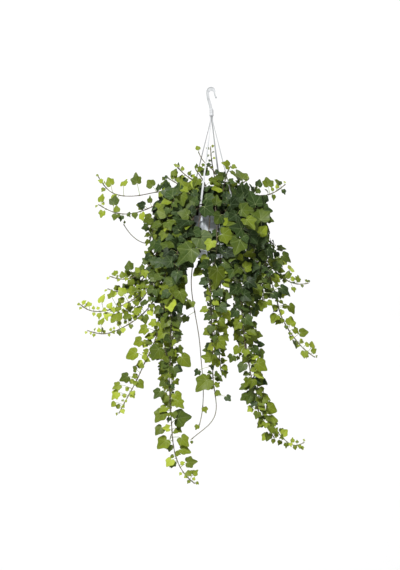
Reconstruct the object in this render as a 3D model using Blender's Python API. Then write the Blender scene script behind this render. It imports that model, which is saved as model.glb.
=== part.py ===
"""Potted ivy in a hanging plastic pot. Metres, +Z up, the front of the plant towards -Y.

The origin is the inner top of the hook, where the hanger rests on whatever holds it up.
Stems and leaves are laid out from the pot's axis and the plane of its rim.
"""
import math
import random
from collections import namedtuple

import bmesh
import bpy
from mathutils import Matrix, Vector
from mathutils.bvhtree import BVHTree
from mathutils.kdtree import KDTree

# ---- driving dimensions ----
GAP = 0.0003                # left between pieces that touch
HOOK_TO_RIM = 0.375         # inner top of the hook to the top of the pot's rim

HOOK_INNER_RADIUS = 0.0070
HOOK_THICKNESS = 0.0046     # of the open end, in the plane of the hook
HOOK_ARCH = 0.0060          # how much thicker the bend is at its top
SHANK_WIDTH = 0.0090        # in the plane of the hook
HOOK_DEPTH = 0.0070         # across the plane of the hook
HOOK_TIP_DROP = 0.0120      # straight run of the open end below the bend
HOOK_SHANK = 0.0450         # bend to hub
HUB_RADIUS = 0.0060
HUB_HEIGHT = 0.0220
FLANGE_RADIUS = 0.0078
FLANGE_THICKNESS = 0.0014

STRAND_ANGLES = (-26, 64, 154, 244)  # degrees from the front, towards +X
STRAND_WIDTH = 0.0032
STRAND_THICKNESS = 0.0022
STRAND_STRAIGHT = 0.0160    # run of the strands straight down below the hub
STRAND_ROOT_RADIUS = 0.0036
CLIP_WIDTH = 0.0070
CLIP_FOOT = 0.0026          # reach of the clip's foot under the rim band

POT_RIM_RADIUS = 0.0810
POT_RIM_HEIGHT = 0.0165
POT_RIM_STEP = 0.0040       # how far the rim band stands out from the wall
POT_BASE_RADIUS = 0.0560
POT_HEIGHT = 0.1250
POT_WALL = 0.0020
POT_FOOT = 0.0030           # height of the foot ring under the floor
DRAIN_COUNT = 6
DRAIN_RADIUS = 0.0045
DRAIN_CIRCLE = 0.0340
DRAIN_TURN = 0.07           # radians from the back to the first hole
POT_SEGMENTS = 40

SOIL_BELOW_RIM = 0.0150
SOIL_CROWN = 0.0030         # the soil's middle stands this much above its edge

STEM_RADIUS = 0.0015        # at the soil
STEM_TIP_RADIUS = 0.0011
STEM_SPACING = 0.0062       # least distance between the middle lines of two stems
STRAND_SPACING = 0.0080     # least distance between the middle lines of a stem and a strand
STEM_STEP = 0.0060          # distance between the samples of a stem's line
STEM_TOLERANCE = 0.0014     # how far a straight run may leave the smooth line
PARTING_ROUNDS = 60         # of moving crowded stems apart, at most
PARTING_SHARE = 0.6         # of its crowding that a stem gives way in one round
PARTING_SLACK = 0.04        # crowding, as a share of the spacing, that is left alone
EASING = 0.35               # how far a kink is straightened in one round
RIM_CLEARANCE = 0.0035      # stem's middle line to the pot
NODE_LENGTH = 0.0026        # stretch of stem that a petiole grows from

LEAF_THICKNESS = 0.0010
LEAF_CUP = 0.07             # rise of the lobes, as a share of the leaf's length
LEAF_CLEARANCE = 0.0004
PETIOLE_WIDTH = 0.0013
SOLID_LEAF_LENGTH = 0.0200  # shorter leaves have no solid of their own
SOLID_LEAF_EVERY = 3        # of the leaves in a row along a stem, one in this many is a solid
LARGE_LEAF = 0.0480         # placed leaves this long grow first, in front of the others
LEAF_FORWARD = 0.0080       # how far a placed leaf stands out from its stem
LARGE_LEAF_FORWARD = 0.0260
SEED = 11

RIM_Z = -HOOK_TO_RIM
POT_WALL_TOP_RADIUS = POT_RIM_RADIUS - POT_RIM_STEP
POT_INNER_TOP_RADIUS = POT_WALL_TOP_RADIUS - POT_WALL
POT_BOTTOM_Z = RIM_Z - POT_HEIGHT
POT_FLOOR_Z = POT_BOTTOM_Z + POT_FOOT + POT_WALL
SOIL_Z = RIM_Z - SOIL_BELOW_RIM

DOWN = Vector((0, 0, -1))
UP = Vector((0, 0, 1))
FRONT = Vector((0, -1, 0))

# One rooted stem. The route runs from the crown outwards, from the pot's axis and rim plane.
# Placed leaves are (x, height, length). The others follow every `every` metres from `bare` on,
# with lengths that run from `large` near the crown to `small` at the tip.
Vine = namedtuple("Vine", "name route placed large small every bare")

VINES = (
    Vine("vine_left_high",
         ((-0.060, 0.010, 0.040), (-0.120, 0.010, 0.075), (-0.170, 0.000, 0.072), (-0.220, 0.000, 0.059),
          (-0.275, 0.000, 0.059), (-0.310, 0.000, 0.069), (-0.324, 0.000, 0.092), (-0.342, 0.000, 0.122)),
         ((-0.333, 0.102, 0.023), (-0.288, 0.099, 0.028), (-0.268, 0.089, 0.026), (-0.234, 0.097, 0.032),
          (-0.213, 0.050, 0.030)),
         0.042, 0.018, 0.045, 0.040),
    Vine("vine_left_upper",
         ((-0.060, -0.015, 0.030), (-0.100, -0.030, 0.050), (-0.150, -0.040, 0.040), (-0.190, -0.040, 0.020),
          (-0.225, -0.040, 0.007), (-0.260, -0.040, 0.002), (-0.300, -0.040, 0.010), (-0.340, -0.040, 0.035)),
         ((-0.330, 0.042, 0.024), (-0.297, 0.032, 0.030), (-0.270, -0.006, 0.013)),
         0.045, 0.018, 0.045, 0.040),
    Vine("vine_left_bare",
         ((-0.070, 0.030, 0.035), (-0.110, 0.050, 0.005), (-0.150, 0.050, -0.055), (-0.185, 0.050, -0.091),
          (-0.220, 0.050, -0.077), (-0.250, 0.050, -0.051), (-0.266, 0.050, -0.022)),
         ((-0.150, -0.020, 0.042), (-0.175, -0.055, 0.038), (-0.190, -0.100, 0.030)),
         0.040, 0.012, 0.300, 0.040),
    Vine("vine_left_middle",
         ((-0.070, -0.025, 0.028), (-0.105, -0.050, 0.015), (-0.140, -0.060, -0.065), (-0.180, -0.060, -0.145),
          (-0.220, -0.060, -0.181), (-0.260, -0.060, -0.194), (-0.290, -0.060, -0.191), (-0.306, -0.060, -0.180)),
         ((-0.252, -0.163, 0.029), (-0.283, -0.172, 0.018), (-0.258, -0.210, 0.020)),
         0.045, 0.016, 0.042, 0.050),
    Vine("vine_left_low_1",
         ((-0.070, 0.000, 0.035), (-0.110, -0.010, -0.005), (-0.150, -0.020, -0.105), (-0.200, -0.020, -0.185),
          (-0.250, -0.020, -0.225), (-0.290, -0.020, -0.233), (-0.312, -0.020, -0.217)),
         ((-0.240, -0.200, 0.030),),
         0.045, 0.018, 0.040, 0.060),
    Vine("vine_left_low_2",
         ((-0.060, -0.045, 0.030), (-0.095, -0.070, -0.005), (-0.130, -0.080, -0.105), (-0.175, -0.080, -0.195),
          (-0.230, -0.080, -0.250), (-0.290, -0.080, -0.278), (-0.345, -0.080, -0.290), (-0.380, -0.080, -0.281),
          (-0.393, -0.080, -0.263)),
         ((-0.364, -0.270, 0.018), (-0.335, -0.260, 0.028), (-0.308, -0.302, 0.026), (-0.305, -0.248, 0.028),
          (-0.275, -0.292, 0.028), (-0.270, -0.240, 0.027)),
         0.045, 0.014, 0.040, 0.060),
    Vine("vine_left_low_3",
         ((-0.065, 0.050, 0.030), (-0.105, 0.070, -0.005), (-0.140, 0.070, -0.105), (-0.180, 0.060, -0.205),
          (-0.220, 0.050, -0.265), (-0.270, 0.050, -0.297), (-0.320, 0.050, -0.295)),
         (),
         0.042, 0.020, 0.045, 0.050),
    Vine("vine_left_low_4",
         ((-0.055, -0.055, 0.030), (-0.085, -0.090, -0.005), (-0.115, -0.110, -0.105), (-0.145, -0.120, -0.195),
          (-0.180, -0.120, -0.270), (-0.220, -0.120, -0.307), (-0.265, -0.120, -0.335), (-0.320, -0.120, -0.357),
          (-0.370, -0.120, -0.341)),
         ((-0.332, -0.325, 0.023), (-0.294, -0.318, 0.040), (-0.255, -0.312, 0.025), (-0.198, -0.315, 0.025)),
         0.046, 0.012, 0.042, 0.060),
    Vine("vine_left_long",
         ((-0.050, -0.060, 0.030), (-0.075, -0.100, -0.005), (-0.100, -0.125, -0.105), (-0.125, -0.130, -0.205),
          (-0.145, -0.130, -0.295), (-0.170, -0.120, -0.380), (-0.198, -0.120, -0.435), (-0.223, -0.120, -0.493),
          (-0.250, -0.120, -0.540), (-0.276, -0.120, -0.590)),
         ((-0.200, -0.350, 0.030), (-0.215, -0.385, 0.030), (-0.235, -0.422, 0.038), (-0.230, -0.468, 0.020),
          (-0.257, -0.490, 0.030), (-0.280, -0.512, 0.025), (-0.208, -0.500, 0.026), (-0.285, -0.537, 0.030),
          (-0.233, -0.540, 0.018), (-0.290, -0.565, 0.017)),
         0.048, 0.014, 0.042, 0.070),
    Vine("vine_longest",
         ((-0.040, -0.065, 0.030), (-0.055, -0.105, 0.000), (-0.080, -0.140, -0.095), (-0.105, -0.155, -0.205),
          (-0.120, -0.160, -0.325), (-0.123, -0.160, -0.445), (-0.124, -0.160, -0.535), (-0.118, -0.160, -0.620),
          (-0.113, -0.160, -0.690), (-0.098, -0.160, -0.740), (-0.075, -0.160, -0.775), (-0.048, -0.160, -0.795)),
         ((-0.100, -0.180, 0.050), (-0.098, -0.225, 0.050), (-0.165, -0.415, 0.045), (-0.140, -0.445, 0.022),
          (-0.080, -0.440, 0.040), (-0.090, -0.402, 0.025), (-0.156, -0.533, 0.032), (-0.100, -0.540, 0.030),
          (-0.080, -0.562, 0.030), (-0.150, -0.598, 0.040), (-0.080, -0.630, 0.050), (-0.152, -0.642, 0.030),
          (-0.080, -0.672, 0.034), (-0.142, -0.682, 0.038), (-0.078, -0.707, 0.032), (-0.122, -0.737, 0.026),
          (-0.062, -0.740, 0.032), (-0.042, -0.768, 0.019)),
         0.050, 0.016, 0.045, 0.070),
    Vine("vine_inner_left_1",
         ((-0.055, 0.030, 0.030), (-0.085, 0.060, -0.005), (-0.105, 0.080, -0.125), (-0.115, 0.070, -0.245),
          (-0.135, 0.050, -0.365), (-0.135, 0.040, -0.465), (-0.120, 0.030, -0.545), (-0.123, 0.030, -0.595)),
         (),
         0.042, 0.022, 0.046, 0.050),
    Vine("vine_inner_left_2",
         ((-0.065, -0.035, 0.035), (-0.095, -0.065, -0.005), (-0.115, -0.080, -0.125), (-0.125, -0.080, -0.245),
          (-0.145, -0.080, -0.345), (-0.130, -0.080, -0.435), (-0.110, -0.080, -0.505)),
         ((-0.125, -0.375, 0.030), (-0.104, -0.335, 0.030), (-0.120, -0.470, 0.030), (-0.145, -0.490, 0.025)),
         0.046, 0.022, 0.040, 0.060),
    Vine("vine_centre_left",
         ((-0.025, -0.065, 0.027), (-0.035, -0.105, -0.005), (-0.050, -0.125, -0.105), (-0.062, -0.130, -0.195),
          (-0.056, -0.130, -0.250), (-0.047, -0.130, -0.305), (-0.036, -0.130, -0.365), (-0.031, -0.130, -0.435),
          (-0.024, -0.130, -0.505), (-0.027, -0.130, -0.585), (-0.037, -0.130, -0.625)),
         ((-0.060, -0.262, 0.030), (-0.076, -0.312, 0.022), (-0.028, -0.447, 0.026), (-0.018, -0.575, 0.018)),
         0.040, 0.026, 0.400, 0.110),
    Vine("vine_centre_right",
         ((-0.005, -0.070, 0.027), (-0.005, -0.110, -0.005), (-0.012, -0.135, -0.105), (-0.005, -0.145, -0.205),
          (-0.002, -0.150, -0.285), (0.003, -0.150, -0.385), (0.003, -0.150, -0.485), (0.012, -0.150, -0.540),
          (0.017, -0.150, -0.580), (0.002, -0.150, -0.617), (-0.030, -0.150, -0.637), (-0.063, -0.150, -0.665)),
         ((0.020, -0.235, 0.030), (0.030, -0.280, 0.035), (-0.012, -0.308, 0.035), (0.030, -0.323, 0.025),
          (-0.013, -0.352, 0.025), (0.024, -0.385, 0.038), (-0.012, -0.433, 0.030), (0.016, -0.455, 0.033),
          (-0.019, -0.510, 0.050), (-0.045, -0.470, 0.020), (0.052, -0.548, 0.020)),
         0.040, 0.018, 0.400, 0.120),
    Vine("vine_centre_short",
         ((0.008, -0.068, 0.029), (0.018, -0.105, -0.005), (0.025, -0.125, -0.105), (0.026, -0.125, -0.205),
          (0.024, -0.120, -0.305), (0.020, -0.120, -0.385), (0.028, -0.120, -0.465)),
         ((0.038, -0.475, 0.023),),
         0.040, 0.024, 0.048, 0.130),
    Vine("vine_right_long_1",
         ((0.035, -0.065, 0.029), (0.050, -0.100, -0.005), (0.070, -0.120, -0.105), (0.085, -0.125, -0.205),
          (0.090, -0.125, -0.305), (0.100, -0.120, -0.395), (0.116, -0.120, -0.465), (0.126, -0.120, -0.545),
          (0.148, -0.120, -0.605), (0.170, -0.120, -0.637), (0.188, -0.120, -0.663)),
         ((0.145, -0.458, 0.040), (0.073, -0.403, 0.025), (0.052, -0.429, 0.027), (0.098, -0.425, 0.022),
          (0.140, -0.485, 0.030), (0.106, -0.508, 0.022), (0.110, -0.535, 0.035)),
         0.044, 0.024, 0.042, 0.070),
    Vine("vine_right_long_2",
         ((0.050, -0.050, 0.029), (0.075, -0.080, -0.005), (0.095, -0.095, -0.105), (0.110, -0.095, -0.205),
          (0.115, -0.090, -0.305), (0.125, -0.090, -0.405), (0.134, -0.090, -0.485), (0.143, -0.090, -0.555),
          (0.172, -0.090, -0.617), (0.202, -0.090, -0.651), (0.230, -0.090, -0.683), (0.250, -0.090, -0.695),
          (0.277, -0.090, -0.674)),
         ((0.155, -0.548, 0.030), (0.150, -0.503, 0.025), (0.178, -0.582, 0.036), (0.198, -0.630, 0.042),
          (0.217, -0.658, 0.023), (0.258, -0.683, 0.012)),
         0.044, 0.014, 0.045, 0.060),
    Vine("vine_right_back",
         ((0.030, 0.045, 0.029), (0.045, 0.085, -0.005), (0.060, 0.095, -0.125), (0.072, 0.080, -0.245),
          (0.080, 0.060, -0.345), (0.085, 0.040, -0.425)),
         (),
         0.042, 0.024, 0.046, 0.060),
    Vine("vine_right_far",
         ((0.065, -0.030, 0.029), (0.100, -0.045, 0.005), (0.140, -0.060, -0.085), (0.170, -0.060, -0.175),
          (0.194, -0.060, -0.245), (0.203, -0.060, -0.295), (0.225, -0.060, -0.335), (0.252, -0.060, -0.373),
          (0.280, -0.060, -0.405), (0.310, -0.060, -0.424)),
         ((0.185, -0.312, 0.030), (0.243, -0.335, 0.032), (0.272, -0.361, 0.026), (0.238, -0.380, 0.025),
          (0.274, -0.415, 0.022), (0.300, -0.398, 0.023), (0.236, -0.280, 0.030), (0.215, -0.230, 0.038)),
         0.046, 0.016, 0.044, 0.060),
    Vine("vine_right_runner",
         ((0.070, -0.010, 0.028), (0.105, -0.010, 0.000), (0.140, -0.010, -0.085), (0.175, -0.010, -0.150),
          (0.215, -0.010, -0.189), (0.250, -0.010, -0.207), (0.275, -0.010, -0.212), (0.292, -0.010, -0.201)),
         ((0.222, -0.130, 0.035), (0.208, -0.152, 0.030), (0.240, -0.168, 0.025), (0.225, -0.195, 0.030),
          (0.258, -0.196, 0.020), (0.242, -0.222, 0.016)),
         0.046, 0.012, 0.042, 0.060),
    Vine("vine_right_shoulder",
         ((0.065, 0.020, 0.031), (0.100, 0.030, 0.010), (0.140, 0.040, -0.025), (0.175, 0.040, -0.075),
          (0.195, 0.040, -0.110), (0.215, 0.040, -0.155)),
         ((0.170, -0.060, 0.035),),
         0.045, 0.022, 0.045, 0.050),
    Vine("vine_right_high",
         ((0.050, 0.008, 0.045), (0.090, 0.010, 0.070), (0.130, 0.010, 0.061), (0.170, 0.010, 0.059),
          (0.200, 0.010, 0.075), (0.224, 0.010, 0.097)),
         ((0.143, 0.085, 0.022), (0.175, 0.087, 0.033), (0.158, 0.048, 0.030), (0.193, 0.102, 0.020)),
         0.040, 0.016, 0.045, 0.050),
    Vine("vine_right_inner_1",
         ((0.060, 0.035, 0.029), (0.100, 0.060, -0.005), (0.130, 0.070, -0.095), (0.150, 0.070, -0.185),
          (0.160, 0.060, -0.255)),
         (),
         0.044, 0.026, 0.045, 0.050),
    Vine("vine_right_inner_2",
         ((0.058, -0.040, 0.029), (0.090, -0.070, -0.005), (0.120, -0.080, -0.085), (0.140, -0.090, -0.165),
          (0.150, -0.090, -0.235), (0.155, -0.090, -0.270)),
         ((0.113, -0.125, 0.032), (0.172, -0.115, 0.038), (0.130, -0.185, 0.035), (0.153, -0.215, 0.035),
          (0.148, -0.262, 0.030), (0.187, -0.245, 0.023)),
         0.050, 0.024, 0.048, 0.050),
    Vine("shoot_top_left",
         ((-0.015, 0.005, 0.045), (-0.030, 0.003, 0.090), (-0.060, 0.000, 0.111), (-0.085, 0.000, 0.123),
          (-0.108, 0.000, 0.153)),
         ((-0.108, 0.130, 0.020), (-0.088, 0.148, 0.014)),
         0.034, 0.012, 0.034, 0.050),
    Vine("shoot_top_middle",
         ((-0.005, -0.015, 0.045), (-0.015, -0.025, 0.095), (-0.035, -0.030, 0.120), (-0.050, -0.030, 0.142)),
         ((-0.004, 0.127, 0.030),),
         0.036, 0.028, 0.036, 0.050),
    Vine("shoot_top_bent",
         ((0.015, -0.005, 0.045), (0.025, -0.015, 0.100), (0.015, -0.020, 0.133), (-0.012, -0.020, 0.152),
          (-0.030, -0.020, 0.155), (-0.034, -0.020, 0.175), (-0.040, -0.020, 0.193)),
         ((-0.027, 0.197, 0.015),),
         0.034, 0.010, 0.120, 0.050),
    Vine("shoot_top_tall",
         ((0.020, 0.012, 0.045), (0.010, 0.015, 0.115), (-0.002, 0.015, 0.175), (-0.003, 0.015, 0.210)),
         ((0.004, 0.163, 0.026),),
         0.034, 0.010, 0.060, 0.050),
    Vine("shoot_top_right",
         ((0.030, -0.020, 0.045), (0.040, -0.030, 0.105), (0.045, -0.030, 0.140), (0.058, -0.030, 0.150)),
         ((0.035, 0.145, 0.038),),
         0.040, 0.028, 0.040, 0.050),
    Vine("shoot_right",
         ((0.040, 0.015, 0.045), (0.070, 0.020, 0.085), (0.095, 0.020, 0.100), (0.113, 0.020, 0.112)),
         ((0.100, 0.097, 0.045),),
         0.042, 0.012, 0.036, 0.050),
    Vine("shoot_left",
         ((-0.030, 0.020, 0.045), (-0.080, 0.030, 0.085), (-0.125, 0.030, 0.110), (-0.140, 0.030, 0.120)),
         (),
         0.040, 0.024, 0.036, 0.050),
    Vine("crown_front_left",
         ((-0.022, -0.055, 0.040), (-0.040, -0.095, 0.035), (-0.060, -0.120, -0.025), (-0.070, -0.135, -0.105)),
         ((-0.063, 0.012, 0.032), (-0.025, -0.090, 0.058)),
         0.032, 0.050, 0.300, 0.200),
    Vine("crown_front_middle",
         ((0.005, -0.055, 0.040), (0.010, -0.095, 0.040), (0.015, -0.130, -0.025), (0.015, -0.150, -0.105),
          (0.005, -0.155, -0.160)),
         ((0.020, 0.025, 0.030), (0.045, -0.075, 0.045), (-0.073, -0.133, 0.062), (-0.002, -0.197, 0.058)),
         0.034, 0.040, 0.300, 0.200),
    Vine("crown_front_right",
         ((0.030, -0.050, 0.040), (0.055, -0.085, 0.040), (0.080, -0.120, -0.005), (0.090, -0.140, -0.085)),
         ((0.060, 0.018, 0.036), (0.070, -0.020, 0.045), (0.095, -0.055, 0.048), (0.075, -0.100, 0.050)),
         0.045, 0.045, 0.050, 0.100),
    Vine("crown_right",
         ((0.050, -0.020, 0.040), (0.090, -0.035, 0.050), (0.130, -0.050, 0.025), (0.150, -0.060, -0.035)),
         ((0.100, 0.040, 0.045), (0.125, 0.008, 0.050), (0.145, -0.030, 0.055)),
         0.048, 0.040, 0.045, 0.040),
    Vine("crown_left",
         ((-0.050, -0.030, 0.040), (-0.090, -0.060, 0.050), (-0.120, -0.080, 0.015), (-0.135, -0.090, -0.055)),
         ((-0.105, 0.015, 0.045), (-0.140, -0.020, 0.048)),
         0.045, 0.045, 0.044, 0.040),
    Vine("crown_far_left",
         ((-0.045, 0.020, 0.045), (-0.090, 0.030, 0.065), (-0.135, 0.030, 0.040), (-0.170, 0.030, -0.015),
          (-0.185, 0.030, -0.075)),
         (),
         0.045, 0.034, 0.042, 0.040),
    Vine("crown_top_left",
         ((-0.040, -0.040, 0.045), (-0.075, -0.070, 0.075), (-0.105, -0.090, 0.065), (-0.125, -0.100, 0.015)),
         ((-0.070, 0.057, 0.034), (-0.120, 0.045, 0.036)),
         0.042, 0.036, 0.042, 0.040),
    Vine("vine_back_left",
         ((-0.035, 0.050, 0.030), (-0.055, 0.100, 0.000), (-0.080, 0.140, -0.095), (-0.100, 0.160, -0.205),
          (-0.115, 0.160, -0.325), (-0.120, 0.160, -0.445), (-0.120, 0.150, -0.545)),
         (),
         0.046, 0.022, 0.048, 0.070),
    Vine("vine_back_middle",
         ((-0.005, 0.060, 0.029), (0.000, 0.110, 0.005), (0.005, 0.150, -0.095), (0.005, 0.170, -0.205),
          (0.008, 0.170, -0.325), (0.010, 0.170, -0.425)),
         (),
         0.038, 0.022, 0.048, 0.070),
    Vine("vine_back_right",
         ((0.015, 0.060, 0.029), (0.030, 0.110, 0.005), (0.055, 0.150, -0.085), (0.085, 0.170, -0.185),
          (0.098, 0.170, -0.285), (0.105, 0.160, -0.385), (0.120, 0.150, -0.475)),
         (),
         0.046, 0.022, 0.048, 0.070),
    Vine("vine_back_far_right",
         ((0.045, 0.045, 0.029), (0.085, 0.085, 0.010), (0.120, 0.120, -0.065), (0.140, 0.140, -0.155),
          (0.155, 0.150, -0.235)),
         (),
         0.046, 0.026, 0.048, 0.060),
    Vine("vine_back_far_left",
         ((-0.055, 0.038, 0.029), (-0.095, 0.080, 0.010), (-0.130, 0.120, -0.065), (-0.155, 0.140, -0.165),
          (-0.170, 0.150, -0.255)),
         (),
         0.046, 0.026, 0.048, 0.060),
    Vine("crown_back_left",
         ((-0.020, 0.040, 0.045), (-0.040, 0.090, 0.065), (-0.060, 0.150, 0.045), (-0.080, 0.210, -0.005),
          (-0.090, 0.250, -0.045)),
         (),
         0.046, 0.024, 0.046, 0.060),
    Vine("crown_back_right",
         ((0.020, 0.040, 0.045), (0.040, 0.090, 0.070), (0.065, 0.150, 0.055), (0.080, 0.210, 0.015),
          (0.090, 0.260, -0.005)),
         (),
         0.046, 0.020, 0.046, 0.060),
    Vine("crown_back_middle",
         ((0.000, 0.045, 0.045), (0.005, 0.095, 0.055), (0.000, 0.150, 0.015), (-0.010, 0.200, -0.065),
          (-0.020, 0.240, -0.145)),
         (),
         0.046, 0.024, 0.046, 0.060),
    Vine("crown_back_far_left",
         ((-0.045, 0.040, 0.039), (-0.080, 0.085, 0.050), (-0.120, 0.130, 0.015), (-0.140, 0.170, -0.055)),
         (),
         0.046, 0.034, 0.046, 0.050),
    Vine("crown_back_far_right",
         ((0.050, 0.030, 0.039), (0.090, 0.065, 0.050), (0.120, 0.110, 0.015), (0.135, 0.150, -0.055)),
         (),
         0.046, 0.034, 0.046, 0.050),
)


# ---- scene helpers ----
def clear_scene():
    for old in list(bpy.data.objects):
        bpy.data.objects.remove(old, do_unlink=True)


def material(name, colour, roughness):
    """A Principled material of one colour."""
    mat = bpy.data.materials.new(name)
    mat.use_nodes = True
    shader = mat.node_tree.nodes["Principled BSDF"]
    shader.inputs["Base Color"].default_value = (*colour, 1)
    shader.inputs["Roughness"].default_value = roughness
    return mat


def add_object(name, bm, mat=None):
    """Turns a bmesh into a named object, with its normals facing out."""
    bmesh.ops.recalc_face_normals(bm, faces=bm.faces)
    if bm.calc_volume(signed=True) < 0:
        bmesh.ops.reverse_faces(bm, faces=bm.faces)
    mesh = bpy.data.meshes.new(name)
    bm.to_mesh(mesh)
    bm.free()
    obj = bpy.data.objects.new(name, mesh)
    bpy.context.collection.objects.link(obj)
    if mat:
        mesh.materials.append(mat)
    return obj


def hide_helper(obj):
    obj.hide_render = True
    obj.display_type = "WIRE"


def add_boolean(obj, operand, operation):
    modifier = obj.modifiers.new(operand.name, "BOOLEAN")
    modifier.operation = operation
    modifier.object = operand
    hide_helper(operand)


def tube(bm, rings):
    """Bridges rings of the same number of points and caps both ends."""
    made = [[bm.verts.new(co) for co in ring] for ring in rings]
    count = len(made[0])
    for lower, upper in zip(made, made[1:]):
        for k in range(count):
            bm.faces.new((lower[k], lower[(k + 1) % count], upper[(k + 1) % count], upper[k]))
    bm.faces.new(made[0])
    bm.faces.new(made[-1])


def turned(name, profile, segments, mat=None):
    """A closed profile of (radius, height) points, turned about Z. It starts and ends on the axis."""
    bm = bmesh.new()
    inner = profile[1:-1]
    ends = [bm.verts.new((0, 0, z)) for _, z in (profile[0], profile[-1])]
    loops = []
    for k in range(segments):
        turn = 2 * math.pi * k / segments
        loops.append([bm.verts.new((r * math.sin(turn), -r * math.cos(turn), z)) for r, z in inner])
    for here, after in zip(loops, loops[1:] + loops[:1]):
        bm.faces.new((ends[0], here[0], after[0]))
        bm.faces.new((ends[1], after[-1], here[-1]))
        for a, b, c, d in zip(here, here[1:], after[1:], after):
            bm.faces.new((a, b, c, d))
    return add_object(name, bm, mat)


# ---- hanger ----
def hook_line(steps=10):
    """Middle line of the hook in its XZ plane, from the open tip to the inside of the hub, and its thicknesses."""
    radius = HOOK_INNER_RADIUS + HOOK_THICKNESS / 2
    bend = -HOOK_INNER_RADIUS
    line = [(radius * 1.45, bend - HOOK_TIP_DROP), (radius * 1.12, bend - HOOK_TIP_DROP / 2)]
    thick = [HOOK_THICKNESS, HOOK_THICKNESS]
    for step in range(steps + 1):
        turn = math.pi * step / steps
        share = (1 - math.cos(turn)) / 2
        here = HOOK_THICKNESS + (SHANK_WIDTH - HOOK_THICKNESS) * share + HOOK_ARCH * math.sin(turn) ** 2
        radius = HOOK_INNER_RADIUS + here / 2
        line.append((radius * math.cos(turn), bend + radius * math.sin(turn)))
        thick.append(here)
    line += [(-radius * 0.85, bend - HOOK_SHANK * 0.35), (-radius * 0.35, bend - HOOK_SHANK * 0.75),
             (0, bend - HOOK_SHANK - HUB_HEIGHT / 3)]
    thick += [SHANK_WIDTH] * 3
    return [Vector((x, 0, z)) for x, z in line], thick


def plate_rings(line, across, widths, thick):
    """Rings of four corners along a bent flat bar. `across` is the direction of its width."""
    rings = []
    for i, point in enumerate(line):
        before = (point - line[i - 1]).normalized() if i else (line[1] - point).normalized()
        after = (line[i + 1] - point).normalized() if i + 1 < len(line) else before
        along = (before + after).normalized()
        out = across.cross(along) * (thick[i] / 2 / max(along.dot(before), 0.5))
        side = across * (widths[i] / 2)
        rings.append([point + out + side, point - out + side, point - out - side, point + out - side])
    return rings


def strand_line(turn):
    """Middle line of one strand, from inside the hub to the clip's foot under the rim band."""
    hub_bottom = -HOOK_INNER_RADIUS - HOOK_SHANK - HUB_HEIGHT
    outside = POT_RIM_RADIUS + GAP + STRAND_THICKNESS / 2
    under = RIM_Z - POT_RIM_HEIGHT - GAP - STRAND_THICKNESS / 2
    flat = [(STRAND_ROOT_RADIUS, hub_bottom + HUB_HEIGHT / 3),
            (STRAND_ROOT_RADIUS, hub_bottom - STRAND_STRAIGHT),
            (outside, RIM_Z + STRAND_THICKNESS),
            (outside, under),
            (POT_RIM_RADIUS - CLIP_FOOT, under)]
    outward = Vector((math.sin(turn), -math.cos(turn), 0))
    return [outward * r + UP * z for r, z in flat]


def strand_across(turn):
    return Vector((math.cos(turn), math.sin(turn), 0))


def build_hanger(mat):
    """Hook, hub, flange and strands as one moulding."""
    top = -HOOK_INNER_RADIUS - HOOK_SHANK
    bottom = top - HUB_HEIGHT
    hanger = turned("hanger", [(0, bottom), (FLANGE_RADIUS, bottom), (FLANGE_RADIUS, bottom + FLANGE_THICKNESS),
                               (HUB_RADIUS, bottom + FLANGE_THICKNESS), (HUB_RADIUS, top - HUB_HEIGHT / 6),
                               (HUB_RADIUS * 0.6, top), (0, top)], 20, mat)
    bm = bmesh.new()
    line, thick = hook_line()
    tube(bm, plate_rings(line, Vector((0, 1, 0)), [HOOK_DEPTH] * len(line), thick))
    add_boolean(hanger, add_object("hook_helper", bm), "UNION")
    for number, angle in enumerate(STRAND_ANGLES):
        turn = math.radians(angle)
        widths = [STRAND_WIDTH, STRAND_WIDTH, CLIP_WIDTH, CLIP_WIDTH, CLIP_WIDTH]
        bm = bmesh.new()
        tube(bm, plate_rings(strand_line(turn), strand_across(turn), widths, [STRAND_THICKNESS] * len(widths)))
        add_boolean(hanger, add_object(f"strand_helper_{number}", bm), "UNION")


# ---- pot and soil ----
def build_pot(mat):
    floor_bottom = POT_BOTTOM_Z + POT_FOOT
    ring_inner = POT_BASE_RADIUS - 2 * POT_WALL
    band_bottom = RIM_Z - POT_RIM_HEIGHT
    pot = turned("pot", [(0, floor_bottom), (ring_inner, floor_bottom), (ring_inner, POT_BOTTOM_Z),
                         (POT_BASE_RADIUS, POT_BOTTOM_Z), (POT_WALL_TOP_RADIUS, band_bottom),
                         (POT_RIM_RADIUS, band_bottom), (POT_RIM_RADIUS, RIM_Z),
                         (POT_INNER_TOP_RADIUS, RIM_Z), (POT_BASE_RADIUS - POT_WALL, POT_FLOOR_Z),
                         (0, POT_FLOOR_Z)], POT_SEGMENTS, mat)
    bm = bmesh.new()
    for k in range(DRAIN_COUNT):
        turn = 2 * math.pi * k / DRAIN_COUNT + DRAIN_TURN
        place = Matrix.Translation((DRAIN_CIRCLE * math.sin(turn), DRAIN_CIRCLE * math.cos(turn), POT_FLOOR_Z))
        bmesh.ops.create_cone(bm, cap_ends=True, segments=12, radius1=DRAIN_RADIUS, radius2=DRAIN_RADIUS,
                              depth=4 * (POT_WALL + POT_FOOT), matrix=place)
    add_boolean(pot, add_object("drain_helper", bm), "DIFFERENCE")


def inner_radius(z):
    """The pot's inner radius at a height."""
    share = (z - POT_FLOOR_Z) / (RIM_Z - POT_FLOOR_Z)
    bottom = POT_BASE_RADIUS - POT_WALL
    return bottom + (POT_INNER_TOP_RADIUS - bottom) * share


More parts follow.
